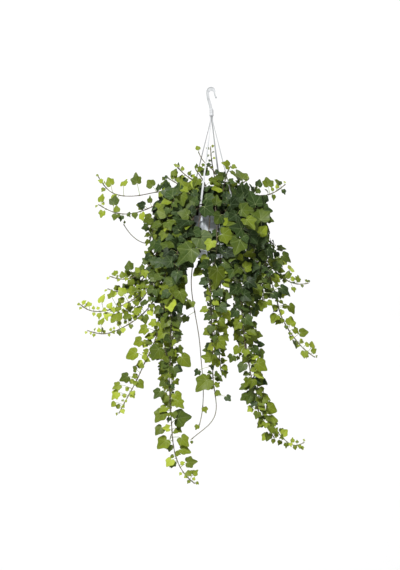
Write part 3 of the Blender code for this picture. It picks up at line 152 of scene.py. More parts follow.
VINES = (
    rooted("vine_left_high", 42, 18, 45, 40,
           ((-60, 10, 40), (-120, 10, 75), (-170, 0, 72), (-220, 0, 59), (-275, 0, 59), (-310, 0, 69),
          (-324, 0, 92), (-342, 0, 122)),
           ((-333, 102, 23), (-288, 99, 28), (-268, 89, 26), (-234, 97, 32), (-213, 50, 30))),
    rooted("vine_left_upper", 45, 18, 45, 40,
           ((-60, -15, 30), (-100, -30, 50), (-150, -40, 40), (-190, -40, 20), (-225, -40, 7),
          (-260, -40, 2), (-300, -40, 10), (-340, -40, 35)),
           ((-330, 42, 24), (-297, 32, 30), (-270, -6, 13))),
    rooted("vine_left_bare", 40, 12, 300, 40,
           ((-70, 30, 35), (-110, 50, 5), (-150, 50, -55), (-185, 50, -91), (-220, 50, -77),
          (-250, 50, -51), (-266, 50, -22)),
           ((-150, -20, 42), (-175, -55, 38), (-190, -100, 30))),
    rooted("vine_left_middle", 45, 16, 42, 50,
           ((-70, -25, 28), (-105, -50, 15), (-140, -60, -65), (-180, -60, -145), (-220, -60, -181),
          (-260, -60, -194), (-290, -60, -191), (-306, -60, -180)),
           ((-252, -163, 29), (-283, -172, 18), (-258, -210, 20))),
    rooted("vine_left_low_1", 45, 18, 40, 60,
           ((-70, 0, 35), (-110, -10, -5), (-150, -20, -105), (-200, -20, -185), (-250, -20, -225),
          (-290, -20, -233), (-312, -20, -217)),
           ((-240, -200, 30),)),
    rooted("vine_left_low_2", 45, 14, 40, 60,
           ((-60, -45, 30), (-95, -70, -5), (-130, -80, -105), (-175, -80, -195), (-230, -80, -250),
          (-290, -80, -278), (-345, -80, -290), (-380, -80, -281), (-393, -80, -263)),
           ((-364, -270, 18), (-335, -260, 28), (-308, -302, 26), (-305, -248, 28), (-275, -292, 28),
          (-270, -240, 27))),
    rooted("vine_left_low_3", 42, 20, 45, 50,
           ((-65, 50, 30), (-105, 70, -5), (-140, 70, -105), (-180, 60, -205), (-220, 50, -265),
          (-270, 50, -297), (-320, 50, -295)),
         ()),
    rooted("vine_left_low_4", 46, 12, 42, 60,
           ((-55, -55, 30), (-85, -90, -5), (-115, -110, -105), (-145, -120, -195), (-180, -120, -270),
          (-220, -120, -307), (-265, -120, -335), (-320, -120, -357), (-370, -120, -341)),
           ((-332, -325, 23), (-294, -318, 40), (-255, -312, 25), (-198, -315, 25))),
    rooted("vine_left_long", 48, 14, 42, 70,
           ((-50, -60, 30), (-75, -100, -5), (-100, -125, -105), (-125, -130, -205), (-145, -130, -295),
          (-170, -120, -380), (-198, -120, -435), (-223, -120, -493), (-250, -120, -540),
          (-276, -120, -590)),
           ((-200, -350, 30), (-215, -385, 30), (-235, -422, 38), (-230, -468, 20), (-257, -490, 30),
          (-280, -512, 25), (-208, -500, 26), (-285, -537, 30), (-233, -540, 18), (-290, -565, 17))),
    rooted("vine_longest", 50, 16, 45, 70,
           ((-40, -65, 30), (-55, -105, 0), (-80, -140, -95), (-105, -155, -205), (-120, -160, -325),
          (-123, -160, -445), (-124, -160, -535), (-118, -160, -620), (-113, -160, -690),
          (-98, -160, -740), (-75, -160, -775), (-48, -160, -795)),
           ((-100, -180, 50), (-98, -225, 50), (-165, -415, 45), (-140, -445, 22), (-80, -440, 40),
          (-90, -402, 25), (-156, -533, 32), (-100, -540, 30), (-80, -562, 30), (-150, -598, 40),
          (-80, -630, 50), (-152, -642, 30), (-80, -672, 34), (-142, -682, 38), (-78, -707, 32),
          (-122, -737, 26), (-62, -740, 32), (-42, -768, 19))),
    rooted("vine_inner_left_1", 42, 22, 46, 50,
           ((-55, 30, 30), (-85, 60, -5), (-105, 80, -125), (-115, 70, -245), (-135, 50, -365),
          (-135, 40, -465), (-120, 30, -545), (-123, 30, -595)),
         ()),
    rooted("vine_inner_left_2", 46, 22, 40, 60,
           ((-65, -35, 35), (-95, -65, -5), (-115, -80, -125), (-125, -80, -245), (-145, -80, -345),
          (-130, -80, -435), (-110, -80, -505)),
           ((-125, -375, 30), (-104, -335, 30), (-120, -470, 30), (-145, -490, 25))),
    rooted("vine_centre_left", 40, 26, 400, 110,
           ((-25, -65, 27), (-35, -105, -5), (-50, -125, -105), (-62, -130, -195), (-56, -130, -250),
          (-47, -130, -305), (-36, -130, -365), (-31, -130, -435), (-24, -130, -505), (-27, -130, -585),
          (-37, -130, -625)),
           ((-60, -262, 30), (-76, -312, 22), (-28, -447, 26), (-18, -575, 18))),
    rooted("vine_centre_right", 40, 18, 400, 120,
           ((-5, -70, 27), (-5, -110, -5), (-12, -135, -105), (-5, -145, -205), (-2, -150, -285),
          (3, -150, -385), (3, -150, -485), (12, -150, -540), (17, -150, -580), (2, -150, -617),
          (-30, -150, -637), (-63, -150, -665)),
           ((20, -235, 30), (30, -280, 35), (-12, -308, 35), (30, -323, 25), (-13, -352, 25),
          (24, -385, 38), (-12, -433, 30), (16, -455, 33), (-19, -510, 50), (-45, -470, 20),
          (52, -548, 20))),
    rooted("vine_centre_short", 40, 24, 48, 130,
           ((8, -68, 29), (18, -105, -5), (25, -125, -105), (26, -125, -205), (24, -120, -305),
          (20, -120, -385), (28, -120, -465)),
           ((38, -475, 23),)),
    rooted("vine_right_long_1", 44, 24, 42, 70,
           ((35, -65, 29), (50, -100, -5), (70, -120, -105), (85, -125, -205), (90, -125, -305),
          (100, -120, -395), (116, -120, -465), (126, -120, -545), (148, -120, -605), (170, -120, -637),
          (188, -120, -663)),
           ((145, -458, 40), (73, -403, 25), (52, -429, 27), (98, -425, 22), (140, -485, 30),
          (106, -508, 22), (110, -535, 35))),
    rooted("vine_right_long_2", 44, 14, 45, 60,
           ((50, -50, 29), (75, -80, -5), (95, -95, -105), (110, -95, -205), (115, -90, -305),
          (125, -90, -405), (134, -90, -485), (143, -90, -555), (172, -90, -617), (202, -90, -651),
          (230, -90, -683), (250, -90, -695), (277, -90, -674)),
           ((155, -548, 30), (150, -503, 25), (178, -582, 36), (198, -630, 42), (217, -658, 23),
          (258, -683, 12))),
    rooted("vine_right_back", 42, 24, 46, 60,
           ((30, 45, 29), (45, 85, -5), (60, 95, -125), (72, 80, -245), (80, 60, -345), (85, 40, -425)),
         ()),
    rooted("vine_right_far", 46, 16, 44, 60,
           ((65, -30, 29), (100, -45, 5), (140, -60, -85), (170, -60, -175), (194, -60, -245),
          (203, -60, -295), (225, -60, -335), (252, -60, -373), (280, -60, -405), (310, -60, -424)),
           ((185, -312, 30), (243, -335, 32), (272, -361, 26), (238, -380, 25), (274, -415, 22),
          (300, -398, 23), (236, -280, 30), (215, -230, 38))),
    rooted("vine_right_runner", 46, 12, 42, 60,
           ((70, -10, 28), (105, -10, 0), (140, -10, -85), (175, -10, -150), (215, -10, -189),
          (250, -10, -207), (275, -10, -212), (292, -10, -201)),
           ((222, -130, 35), (208, -152, 30), (240, -168, 25), (225, -195, 30), (258, -196, 20),
          (242, -222, 16))),
    rooted("vine_right_shoulder", 45, 22, 45, 50,
           ((65, 20, 31), (100, 30, 10), (140, 40, -25), (175, 40, -75), (195, 40, -110), (215, 40, -155)),
           ((170, -60, 35),)),
    rooted("vine_right_high", 40, 16, 45, 50,
           ((50, 8, 45), (90, 10, 70), (130, 10, 61), (170, 10, 59), (200, 10, 75), (224, 10, 97)),
           ((143, 85, 22), (175, 87, 33), (158, 48, 30), (193, 102, 20))),
    rooted("vine_right_inner_1", 44, 26, 45, 50,
           ((60, 35, 29), (100, 60, -5), (130, 70, -95), (150, 70, -185), (160, 60, -255)),
         ()),
    rooted("vine_right_inner_2", 50, 24, 48, 50,
           ((58, -40, 29), (90, -70, -5), (120, -80, -85), (140, -90, -165), (150, -90, -235),
          (155, -90, -270)),
           ((113, -125, 32), (172, -115, 38), (130, -185, 35), (153, -215, 35), (148, -262, 30),
          (187, -245, 23))),
    rooted("shoot_top_left", 34, 12, 34, 50,
           ((-15, 5, 45), (-30, 3, 90), (-60, 0, 111), (-85, 0, 123), (-108, 0, 153)),
           ((-108, 130, 20), (-88, 148, 14))),
    rooted("shoot_top_middle", 36, 28, 36, 50,
           ((-5, -15, 45), (-15, -25, 95), (-35, -30, 120), (-50, -30, 142)),
           ((-4, 127, 30),)),
    rooted("shoot_top_bent", 34, 10, 120, 50,
           ((15, -5, 45), (25, -15, 100), (15, -20, 133), (-12, -20, 152), (-30, -20, 155), (-34, -20, 175),
          (-40, -20, 193)),
           ((-27, 197, 15),)),
    rooted("shoot_top_tall", 34, 10, 60, 50,
           ((20, 12, 45), (10, 15, 115), (-2, 15, 175), (-3, 15, 210)),
           ((4, 163, 26),)),
    rooted("shoot_top_right", 40, 28, 40, 50,
           ((30, -20, 45), (40, -30, 105), (45, -30, 140), (58, -30, 150)),
           ((35, 145, 38),)),
    rooted("shoot_right", 42, 12, 36, 50,
           ((40, 15, 45), (70, 20, 85), (95, 20, 100), (113, 20, 112)),
           ((100, 97, 45),)),
    rooted("shoot_left", 40, 24, 36, 50,
           ((-30, 20, 45), (-80, 30, 85), (-125, 30, 110), (-140, 30, 120)),
         ()),
    rooted("crown_front_left", 32, 50, 300, 200,
           ((-22, -55, 40), (-40, -95, 35), (-60, -120, -25), (-70, -135, -105)),
           ((-63, 12, 32), (-25, -90, 58))),
    rooted("crown_front_middle", 34, 40, 300, 200,
           ((5, -55, 40), (10, -95, 40), (15, -130, -25), (15, -150, -105), (5, -155, -160)),
           ((20, 25, 30), (45, -75, 45), (-73, -133, 62), (-2, -197, 58))),
    rooted("crown_front_right", 45, 45, 50, 100,
           ((30, -50, 40), (55, -85, 40), (80, -120, -5), (90, -140, -85)),
           ((60, 18, 36), (70, -20, 45), (95, -55, 48), (75, -100, 50))),
    rooted("crown_right", 48, 40, 45, 40,
           ((50, -20, 40), (90, -35, 50), (130, -50, 25), (150, -60, -35)),
           ((100, 40, 45), (125, 8, 50), (145, -30, 55))),
    rooted("crown_left", 45, 45, 44, 40,
           ((-50, -30, 40), (-90, -60, 50), (-120, -80, 15), (-135, -90, -55)),
           ((-105, 15, 45), (-140, -20, 48))),
    rooted("crown_far_left", 45, 34, 42, 40,
           ((-45, 20, 45), (-90, 30, 65), (-135, 30, 40), (-170, 30, -15), (-185, 30, -75)),
         ()),
    rooted("crown_top_left", 42, 36, 42, 40,
           ((-40, -40, 45), (-75, -70, 75), (-105, -90, 65), (-125, -100, 15)),
           ((-70, 57, 34), (-120, 45, 36))),
    rooted("vine_back_left", 46, 22, 48, 70,
           ((-35, 50, 30), (-55, 100, 0), (-80, 140, -95), (-100, 160, -205), (-115, 160, -325),
          (-120, 160, -445), (-120, 150, -545)),
         ()),
    rooted("vine_back_middle", 38, 22, 48, 70,
           ((-5, 60, 29), (0, 110, 5), (5, 150, -95), (5, 170, -205), (8, 170, -325), (10, 170, -425)),
         ()),
    rooted("vine_back_right", 46, 22, 48, 70,
           ((15, 60, 29), (30, 110, 5), (55, 150, -85), (85, 170, -185), (98, 170, -285), (105, 160, -385),
          (120, 150, -475)),
         ()),
    rooted("vine_back_far_right", 46, 26, 48, 60,
           ((45, 45, 29), (85, 85, 10), (120, 120, -65), (140, 140, -155), (155, 150, -235)),
         ()),
    rooted("vine_back_far_left", 46, 26, 48, 60,
           ((-55, 38, 29), (-95, 80, 10), (-130, 120, -65), (-155, 140, -165), (-170, 150, -255)),
         ()),
    rooted("crown_back_left", 46, 24, 46, 60,
           ((-20, 40, 45), (-40, 90, 65), (-60, 150, 45), (-80, 210, -5), (-90, 250, -45)),
         ()),
    rooted("crown_back_right", 46, 20, 46, 60,
           ((20, 40, 45), (40, 90, 70), (65, 150, 55), (80, 210, 15), (90, 260, -5)),
         ()),
    rooted("crown_back_middle", 46, 24, 46, 60,
           ((0, 45, 45), (5, 95, 55), (0, 150, 15), (-10, 200, -65), (-20, 240, -145)),
         ()),
    rooted("crown_back_far_left", 46, 34, 46, 50,
           ((-45, 40, 39), (-80, 85, 50), (-120, 130, 15), (-140, 170, -55)),
         ()),
    rooted("crown_back_far_right", 46, 34, 46, 50,
           ((50, 30, 39), (90, 65, 50), (120, 110, 15), (135, 150, -55)),
         ()),
)


# ---- stems, on the CAD model's own lines ----
def tube(bm, rings):
    """Bridges rings of the same number of points and caps both ends."""
    made = [[bm.verts.new(co) for co in ring] for ring in rings]
    count = len(made[0])
    for lower, upper in zip(made, made[1:]):
        for k in range(count):
            bm.faces.new((lower[k], lower[(k + 1) % count], upper[(k + 1) % count], upper[k]))
    bm.faces.new(made[0])
    bm.faces.new(made[-1])


def hook_line(steps):
    """Middle line of the hook in its XZ plane, from the open tip to inside the hub, and its thicknesses."""
    radius = HOOK_INNER_RADIUS + HOOK_THICKNESS / 2
    bend = -HOOK_INNER_RADIUS
    line = [(radius * 1.45, bend - HOOK_TIP_DROP), (radius * 1.12, bend - HOOK_TIP_DROP / 2)]
    thick = [HOOK_THICKNESS, HOOK_THICKNESS]
    for step in range(steps + 1):
        turn = math.pi * step / steps
        share = (1 - math.cos(turn)) / 2
        here = HOOK_THICKNESS + (SHANK_WIDTH - HOOK_THICKNESS) * share + HOOK_ARCH * math.sin(turn) ** 2
        radius = HOOK_INNER_RADIUS + here / 2
        line.append((radius * math.cos(turn), bend + radius * math.sin(turn)))
        thick.append(here)
    line += [(-radius * 0.85, bend - HOOK_SHANK * 0.35), (-radius * 0.35, bend - HOOK_SHANK * 0.75),
             (0, bend - HOOK_SHANK - HUB_HEIGHT / 3)]
    thick += [SHANK_WIDTH] * 3
    return [Vector((x, 0, z)) for x, z in line], thick


def strand_line(turn):
    """Middle line of one strand, from inside the hub to the clip's foot under the rim band."""
    hub_bottom = -HOOK_INNER_RADIUS - HOOK_SHANK - HUB_HEIGHT
    outside = POT_RIM_RADIUS + GAP + STRAND_THICKNESS / 2
    under = RIM_Z - POT_RIM_HEIGHT - GAP - STRAND_THICKNESS / 2
    flat = [(STRAND_ROOT_RADIUS, hub_bottom + HUB_HEIGHT / 3),
            (STRAND_ROOT_RADIUS, hub_bottom - STRAND_STRAIGHT),
            (outside, RIM_Z + STRAND_THICKNESS),
            (outside, under),
            (POT_RIM_RADIUS - CLIP_FOOT, under)]
    outward = Vector((math.sin(turn), -math.cos(turn), 0))
    return [outward * r + UP * z for r, z in flat]


def inner_radius(z):
    """The pot's inner radius at a height."""
    share = (z - POT_FLOOR_Z) / (RIM_Z - POT_FLOOR_Z)
    bottom = POT_BASE_RADIUS - POT_WALL
    return bottom + (POT_INNER_TOP_RADIUS - bottom) * share


def soil_height(radius):
    """Height of the soil's top at a distance from the axis."""
    edge = inner_radius(SOIL_Z)
    if radius > edge * SOIL_SHOULDER:
        return SOIL_Z + SOIL_CROWN * SOIL_SHOULDER_RISE * (edge - radius) / (edge * (1 - SOIL_SHOULDER))
    return SOIL_Z + SOIL_CROWN * (1 - (1 - SOIL_SHOULDER_RISE) * radius / (edge * SOIL_SHOULDER))


def smooth_line(points):
    """Samples of a smooth curve through the points, about STEM_STEP apart."""
    ends = [points[0] * 2 - points[1]] + list(points) + [points[-1] * 2 - points[-2]]
    samples = [points[0].copy()]
    for a, b, c, d in zip(ends, ends[1:], ends[2:], ends[3:]):
        count = max(1, round((c - b).length / STEM_STEP))
        for step in range(1, count + 1):
            t = step / count
            samples.append(0.5 * (2 * b + (c - a) * t + (2 * a - 5 * b + 4 * c - d) * t ** 2
                                  + (3 * b - a - 3 * c + d) * t ** 3))
    return samples


def stem_start(crown):
    """The rooted end of a stem below its crown point."""
    radius = min(math.hypot(crown.x, crown.y) * CROWN_TO_ROOT, inner_radius(SOIL_Z) - 2 * RIM_CLEARANCE)
    flat = Vector((crown.x, crown.y, 0)).normalized() * radius
    return flat + UP * (soil_height(radius) + GAP)


def stem_line(vine):
    route = [Vector((x, y, RIM_Z + height)) for x, y, height in vine.route]
    start = stem_start(route[0])
    return smooth_line([start, start.lerp(route[0], 0.45) + UP * SOIL_BELOW_RIM * 0.2] + route)


def keep_off_pot(point):
    """Moves a point of a stem clear of the pot's wall and rim."""
    radius = math.hypot(point.x, point.y)
    inner = POT_INNER_TOP_RADIUS - RIM_CLEARANCE
    outer = POT_RIM_RADIUS + RIM_CLEARANCE
    rise = RIM_Z + RIM_CLEARANCE - point.z
    if rise <= 0 or radius <= inner or radius >= outer:
        return
    if rise < min(radius - inner, outer - radius):
        point.z += rise
        return
    target = outer if radius - inner > outer - radius else inner
    point.x *= target / radius
    point.y *= target / radius


def strand_samples():
    """Points along the hanger's strands, which the stems keep away from."""
    samples = []
    for angle in STRAND_ANGLES:
        line = strand_line(math.radians(angle))
        for a, b in zip(line, line[1:]):
            count = max(1, round((b - a).length / (STEM_STEP / 2)))
            samples += [a.lerp(b, step / count) for step in range(count + 1)]
    return samples


def part_stems(lines):
    """Moves stems apart until each keeps its distance to the others, the strands and the pot."""
    fixed = strand_samples()
    for _ in range(PARTING_ROUNDS):
        flat = [(which, place) for which, line in enumerate(lines) for place in range(len(line))]
        tree = KDTree(len(flat) + len(fixed))
        for index, (which, place) in enumerate(flat):
            tree.insert(lines[which][place], index)
        for index, point in enumerate(fixed):
            tree.insert(point, len(flat) + index)
        tree.balance()
        worst = 0
        moves = []
        for which, place in flat:
            point = lines[which][place]
            push = Vector()
            for other, index, distance in tree.find_range(point, STRAND_SPACING):
                same = index < len(flat) and flat[index][0] == which
                spacing = STEM_SPACING if index < len(flat) else STRAND_SPACING
                if same or distance == 0 or distance >= spacing:
                    continue
                push += (point - other) / distance * (spacing - distance) * PARTING_SHARE
                worst = max(worst, spacing - distance)
            moves.append(push)
        for (which, place), push in zip(flat, moves):
            if place == 0:
                push.z = 0
            lines[which][place] += push
        for line in lines:
            ease_line(line)
            for point in line[1:]:
                keep_off_pot(point)
        if worst < STEM_SPACING * PARTING_SLACK:
            break


def ease_line(line):
    """Takes small kinks out of a line. Its first point stays where it is rooted."""
    eased = [line[i].lerp((line[i - 1] + line[i + 1]) / 2, EASING) for i in range(1, len(line) - 1)]
    line[1:-1] = eased


def line_lengths(line):
    """Distance along the line at each of its points."""
    lengths = [0.0]
    for a, b in zip(line, line[1:]):
        lengths.append(lengths[-1] + (b - a).length)
    return lengths


def run_at(line, place):
    """Which way the line runs at one of its inner points."""
    return (line[place + 1] - line[place - 1]).normalized()


def sample_at(lengths, distance):
    """The point of a line nearest to a distance along it."""
    return min(range(len(lengths)), key=lambda i: abs(lengths[i] - distance))


def length_at(vine, share):
    """Leaf length by the share of the way along a stem."""
    return vine.large + (vine.small - vine.large) * share


def farthest(line, first, last):
    """The point between two others that leaves their chord most, and by how much."""
    chord = line[last] - line[first]
    best, place = 0.0, None
    for i in range(first + 1, last):
        offset = line[i] - line[first]
        away = (offset - chord * (offset.dot(chord) / chord.length_squared)).length
        if away > best:
            best, place = away, i
    return best, place


def chosen_corners(line, kept):
    """Corners of the straight runs that stand for a smooth line, with the kept ones among them."""
    corners = sorted(kept | {0, len(line) - 1})
    i = 0
    while i + 1 < len(corners):
        away, place = farthest(line, corners[i], corners[i + 1])
        if away > STEM_TOLERANCE:
            corners.insert(i + 1, place)
        else:
            i += 1
    return corners


# ---- leaves ----
# A leaf to grow: its sample on the stem, the reach of its petiole, and the blade's length.
Wish = namedtuple("Wish", "place reach length solid")
# One leaf: its sample on the stem, whether its petiole is straight, the petiole's bend,
# and the blade's base, axes and length.
Leaf = namedtuple("Leaf", "place straight bend base across along facing length")

# Half outline of a blade, as shares of its length: across and along. The apex closes it.
BLADE_HALF = ((0.36, -0.08), (0.50, 0.34))
BLADE_APEX = 0.94
BLADE_MIDDLE = 0.28
STRAIGHT_PETIOLE = 0.80     # cosine of the turn above which a petiole has no bend
PETIOLE_LEAST = 0.0085      # shortest petiole
SHARPEST_PETIOLE = 0.25     # least cosine between a petiole and its blade
FLATTEST_PETIOLE = 0.70     # most cosine between a petiole and its stem
NEAR = 0.075                # leaves whose space is farther off than this can't be touched
FRONT_HALF = 0.08           # stems in front of this y turn their leaves to the light
FACING_OUT, FACING_FRONT, FACING_UP, FACING_SPREAD = 0.45, 0.85, 0.35, 0.42
LENGTH_SPREAD = (0.66, 1.06)
PETIOLE_SPREAD = (0.45, 0.85)  # petiole lengths, as shares of the blade's
SPACING_SPREAD = (0.85, 1.15)
STEM_END = 0.010            # no plain leaf grows nearer to a stem's end
STEP_BACK = 0.5             # a placed leaf leaves its stem this share of its distance farther back
PLACED_HANG = 0.75          # weight of both a placed leaf's way out and its way down
PLACED_BASE = 0.4           # its blade starts this share of its length before its place
BEND_BACK, BEND_MOST = 0.3, 0.006  # a bent petiole's last stretch, as a share of its reach, and at most
ROOT_CLEAR, ROOT_MOST = 2.6, 0.9  # of a petiole that may lie in its stem's space: in stem radii, and at most

# Sizes, stretches, swings, yaws and pitches to try for a leaf, the most wanted first.
Tries = namedtuple("Tries", "sizes stretches swings yaws pitches")
SOLID_TRIES = Tries((1.0, 0.85, 0.7), (1.0, 1.3, 0.75), (0, 40, -40), (0, 22, -22, 45, -45), (0, 18, -18))
EXTRA_TRIES = Tries((1.0, 0.75, 0.55), (1.0,), (0, 50, -50), (0, 38, -38), (0, 26))


def facing_at(point, rng):
    """Which way a blade faces: out from the pot, up, and on the front half towards the light."""
    out = Vector((point.x, point.y, 0)).normalized()
    if point.y < FRONT_HALF:
        out = out * FACING_OUT + FRONT * FACING_FRONT
    jitter = Vector((rng.uniform(-1, 1), rng.uniform(-1, 1), rng.uniform(-1, 1)))
    return (out.normalized() + UP * FACING_UP + jitter * FACING_SPREAD).normalized()


def leaf_at(stem_point, wish, reach, size, facing, yaw, pitch):
    """A leaf whose petiole reaches out from the stem and whose blade hangs from its end."""
    facing = Matrix.Rotation(math.radians(yaw), 3, "Z") @ facing
    heading = reach.normalized()
    along = (heading + DOWN * (1 - max(heading.z, 0))).normalized()
    along = (along - facing * along.dot(facing)).normalized()
    across = along.cross(facing)
    turn = Matrix.Rotation(math.radians(pitch), 3, across)
    along = turn @ along
    facing = turn @ facing
    base = stem_point + reach
    straight = heading.dot(along) > STRAIGHT_PETIOLE
    bend = stem_point + reach / 2 if straight else base - along * min(BEND_BACK * reach.length, BEND_MOST)
    return Leaf(wish.place, straight, bend, base, across, along, facing, wish.length * size)


def blade_outline(leaf, grow=0.0):
    """Outline of the blade from its base's left corner around to the right one."""
    half = [(PETIOLE_WIDTH / 2 + grow, 0.0, 0.0)]
    for x, y in BLADE_HALF:
        half.append((x * leaf.length + grow, y * leaf.length, LEAF_CUP * leaf.length))
    flat = [(-x, y, z) for x, y, z in half]
    flat.append((0, BLADE_APEX * leaf.length + grow, -LEAF_CUP * leaf.length))
    flat += [(x, y, z) for x, y, z in reversed(half)]
    return [leaf.base + leaf.across * x + leaf.along * y + leaf.facing * z for x, y, z in flat]


def blade_middle(leaf):
    inward = leaf.along * (BLADE_MIDDLE * leaf.length)
    return leaf.base + inward + leaf.facing * (LEAF_CUP * 0.2 * leaf.length)


def add_blade(bm, leaf, grow=0.0):
    """Adds the blade as a thin folded slab, open at its base, and returns the open end's corners."""
    half = leaf.facing * (LEAF_THICKNESS / 2 + grow)
    outline = blade_outline(leaf, grow)
    upper = [bm.verts.new(co + half) for co in outline]
    lower = [bm.verts.new(co - half) for co in outline]
    top = bm.verts.new(blade_middle(leaf) + half)
    under = bm.verts.new(blade_middle(leaf) - half)
    count = len(outline)
    for k in range(count):
        after = (k + 1) % count
        bm.faces.new((top, upper[k], upper[after]))
        bm.faces.new((under, lower[after], lower[k]))
    for k in range(count - 1):
        bm.faces.new((upper[k], lower[k], lower[k + 1], upper[k + 1]))
    return [upper[0], upper[-1], lower[-1], lower[0]]


def box_between(bm, a, b, half):
    """A closed square bar around a straight run."""
    along = (b - a).normalized()
    side = along.orthogonal().normalized() * half
    other = along.cross(side)
    rings = [[p + side + other, p - side + other, p - side - other, p + side - other] for p in (a, b)]
    tube(bm, rings)


def shape_of(bm):
    """A searchable copy of a bmesh's surface, with the ball around it."""
    points = [v.co for v in bm.verts]
    middle = sum(points, Vector()) / len(points)
    radius = max((p - middle).length for p in points)
    tree = BVHTree.FromBMesh(bm)
    bm.free()
    return middle, radius, tree


def leaf_shapes(leaf, stem_point):
    """The leaf's space from just off its stem, and the petiole's root. None if the leaf crosses itself."""
    bm = bmesh.new()
    ring = add_blade(bm, leaf, LEAF_CLEARANCE)
    bm.faces.new(ring)
    blade = BVHTree.FromBMesh(bm)
    half = PETIOLE_WIDTH / 2 + LEAF_CLEARANCE
    petiole = bmesh.new()
    box_between(petiole, stem_point, leaf.bend, half)
    crosses = blade.overlap(BVHTree.FromBMesh(petiole))
    petiole.free()
    rooted_share = min(ROOT_MOST, ROOT_CLEAR * STEM_RADIUS / (leaf.bend - stem_point).length)
    clear = stem_point.lerp(leaf.bend, rooted_share)
    box_between(bm, clear, leaf.bend, half)
    box_between(bm, leaf.bend, leaf.base, half)
    root = bmesh.new()
    box_between(root, stem_point, clear, half)
    shapes = [shape_of(bm), shape_of(root)]
    return None if crosses else shapes


def node_shape(name):
    """The surface of a frame node."""
    bm = bmesh.new()
    bm.from_mesh(bpy.data.objects[name].data)
    return shape_of(bm)


def stem_shapes(line, corners):
    """The stem's space in short stretches, so that near ones are found quickly."""
    shapes = []
    for a, b in zip(corners, corners[1:]):
        bm = bmesh.new()
        box_between(bm, line[a], line[b], STEM_RADIUS + LEAF_CLEARANCE)
        shapes.append(shape_of(bm))
    return shapes


def is_free(shape, taken):
    middle, radius, tree = shape
    for other_middle, other_radius, other in taken:
        if (middle - other_middle).length < radius + other_radius and tree.overlap(other):
            return False
    return True


def wanted_leaves(vine, line, rng):
    """A vine's leaves, and which of them are solids."""
    lengths = line_lengths(line)
    wanted = []
    for x, height, length in vine.placed:
        forward = LEAF_FORWARD if length < LARGE_LEAF else LARGE_LEAF_FORWARD
        nearest = min(range(len(line)),
                      key=lambda i: (line[i].x - x) ** 2 + (line[i].z - RIM_Z - height) ** 2)
        away = math.hypot(line[nearest].x - x, line[nearest].z - RIM_Z - height)
        place = max(2, nearest - round(away * STEP_BACK / STEM_STEP))
        target = Vector((x, line[nearest].y, RIM_Z + height)) + facing_at(line[nearest], rng) * forward
        heading = (target - line[place]).normalized() * PLACED_HANG + DOWN * PLACED_HANG
        reach = target - heading.normalized() * (length * PLACED_BASE) - line[place]
        if reach.length < PETIOLE_LEAST:
            reach = (target - line[place]).normalized() * PETIOLE_LEAST
        wanted.append(Wish(place, reach, length, length > SOLID_LEAF_LENGTH))
    distance = vine.bare
    number = 0
    while distance < lengths[-1] - STEM_END:
        place = sample_at(lengths, distance)
        share = distance / lengths[-1]
        length = length_at(vine, share) * rng.uniform(*LENGTH_SPREAD)
        run = (line[min(place + 1, len(line) - 1)] - line[place - 1]).normalized()
        out = facing_at(line[place], rng)
        across = run.cross(out).normalized() * (1 if number % 4 in (0, 3) else -1)
        reach = (across * 0.8 + out * 0.45 + run * 0.25).normalized() * length * rng.uniform(*PETIOLE_SPREAD)
        solid = number % SOLID_LEAF_EVERY == 0 and length > SOLID_LEAF_LENGTH
        wanted.append(Wish(place, reach, length, solid))
        number += 1
        distance += vine.every * rng.uniform(*SPACING_SPREAD)
    return wanted


def is_sound(leaf, stem_point, run):
    """Whether the petiole leaves its stem and meets its blade as a leaf's can."""
    if (leaf.base - stem_point).length < PETIOLE_LEAST * 0.99:
        return False
    heading = (leaf.base - stem_point).normalized()
    leaving = (leaf.bend - stem_point).normalized()
    return heading.dot(leaf.along) > SHARPEST_PETIOLE and abs(leaving.dot(run)) < FLATTEST_PETIOLE


def ways_to_grow(tries, reach, run):
    """Reaches, sizes and turns to try for a leaf, the most wanted first."""
    for size, stretch, swing, yaw, pitch in product(*tries):
        yield Matrix.Rotation(math.radians(swing), 3, run) @ reach * stretch, size, yaw, pitch


def fitted_leaf(tries, stem_point, run, wish, facing, fixed, grown):
    """The leaf nearest to the wish that touches nothing, or None where there is no room for one."""
    for reach, size, yaw, pitch in ways_to_grow(tries, wish.reach, run):
        leaf = leaf_at(stem_point, wish, reach, size, facing, yaw, pitch)
        if not is_sound(leaf, stem_point, run):
            continue
        shapes = leaf_shapes(leaf, stem_point)
        if shapes and is_free(shapes[0], fixed + grown) and is_free(shapes[1], grown):
            return leaf, shapes
    return None


def grow_leaves(lines, fixed, rng):
    """The leaves that the CAD model has solids of, and the wishes that it has none for."""
    wishes = [spread_places(wanted_leaves(vine, line, rng), len(line)) for vine, line in zip(VINES, lines)]
    spare = [[one for one in wish if not one.solid] for wish in wishes]
    wishes = [[one for one in wish if one.solid] for wish in wishes]
    corners = [chosen_corners(line, {one.place for one in wish}) for line, wish in zip(lines, wishes)]
    for line, corner in zip(lines, corners):
        fixed += stem_shapes(line, corner)
    leaves = [[] for _ in lines]
    grown = []
    for which, wish in growing_order(wishes):
        line, place = lines[which], wish.place
        run = run_at(line, place)
        facing = facing_at(line[place] + wish.reach, rng)
        found = fitted_leaf(SOLID_TRIES, line[place], run, wish, facing, fixed, grown)
        if found:
            leaves[which].append(found[0])
            grown += found[1]
    return leaves, grown, spare


def growing_order(wishes):
    """Each wish with its vine's number: the large leaves first, then every vine's leaves in turn."""
    order = [(turn, which, wish) for which, row in enumerate(wishes) for turn, wish in enumerate(row)]
    order.sort(key=lambda one: (one[2].length < LARGE_LEAF, one[0], one[1]))
    return [(which, wish) for _, which, wish in order]


def spread_places(wanted, count):
    """Keeps one leaf to each sample of the stem, and moves the others to the next free one."""
    used = set()
    kept = []
    for wish in wanted:
        place = wish.place
        while place in used and place < count - 2:
            place += 1
        if place in used or not 0 < place < count - 1:
            continue
        used.add(place)
        kept.append(wish._replace(place=place))
    return kept


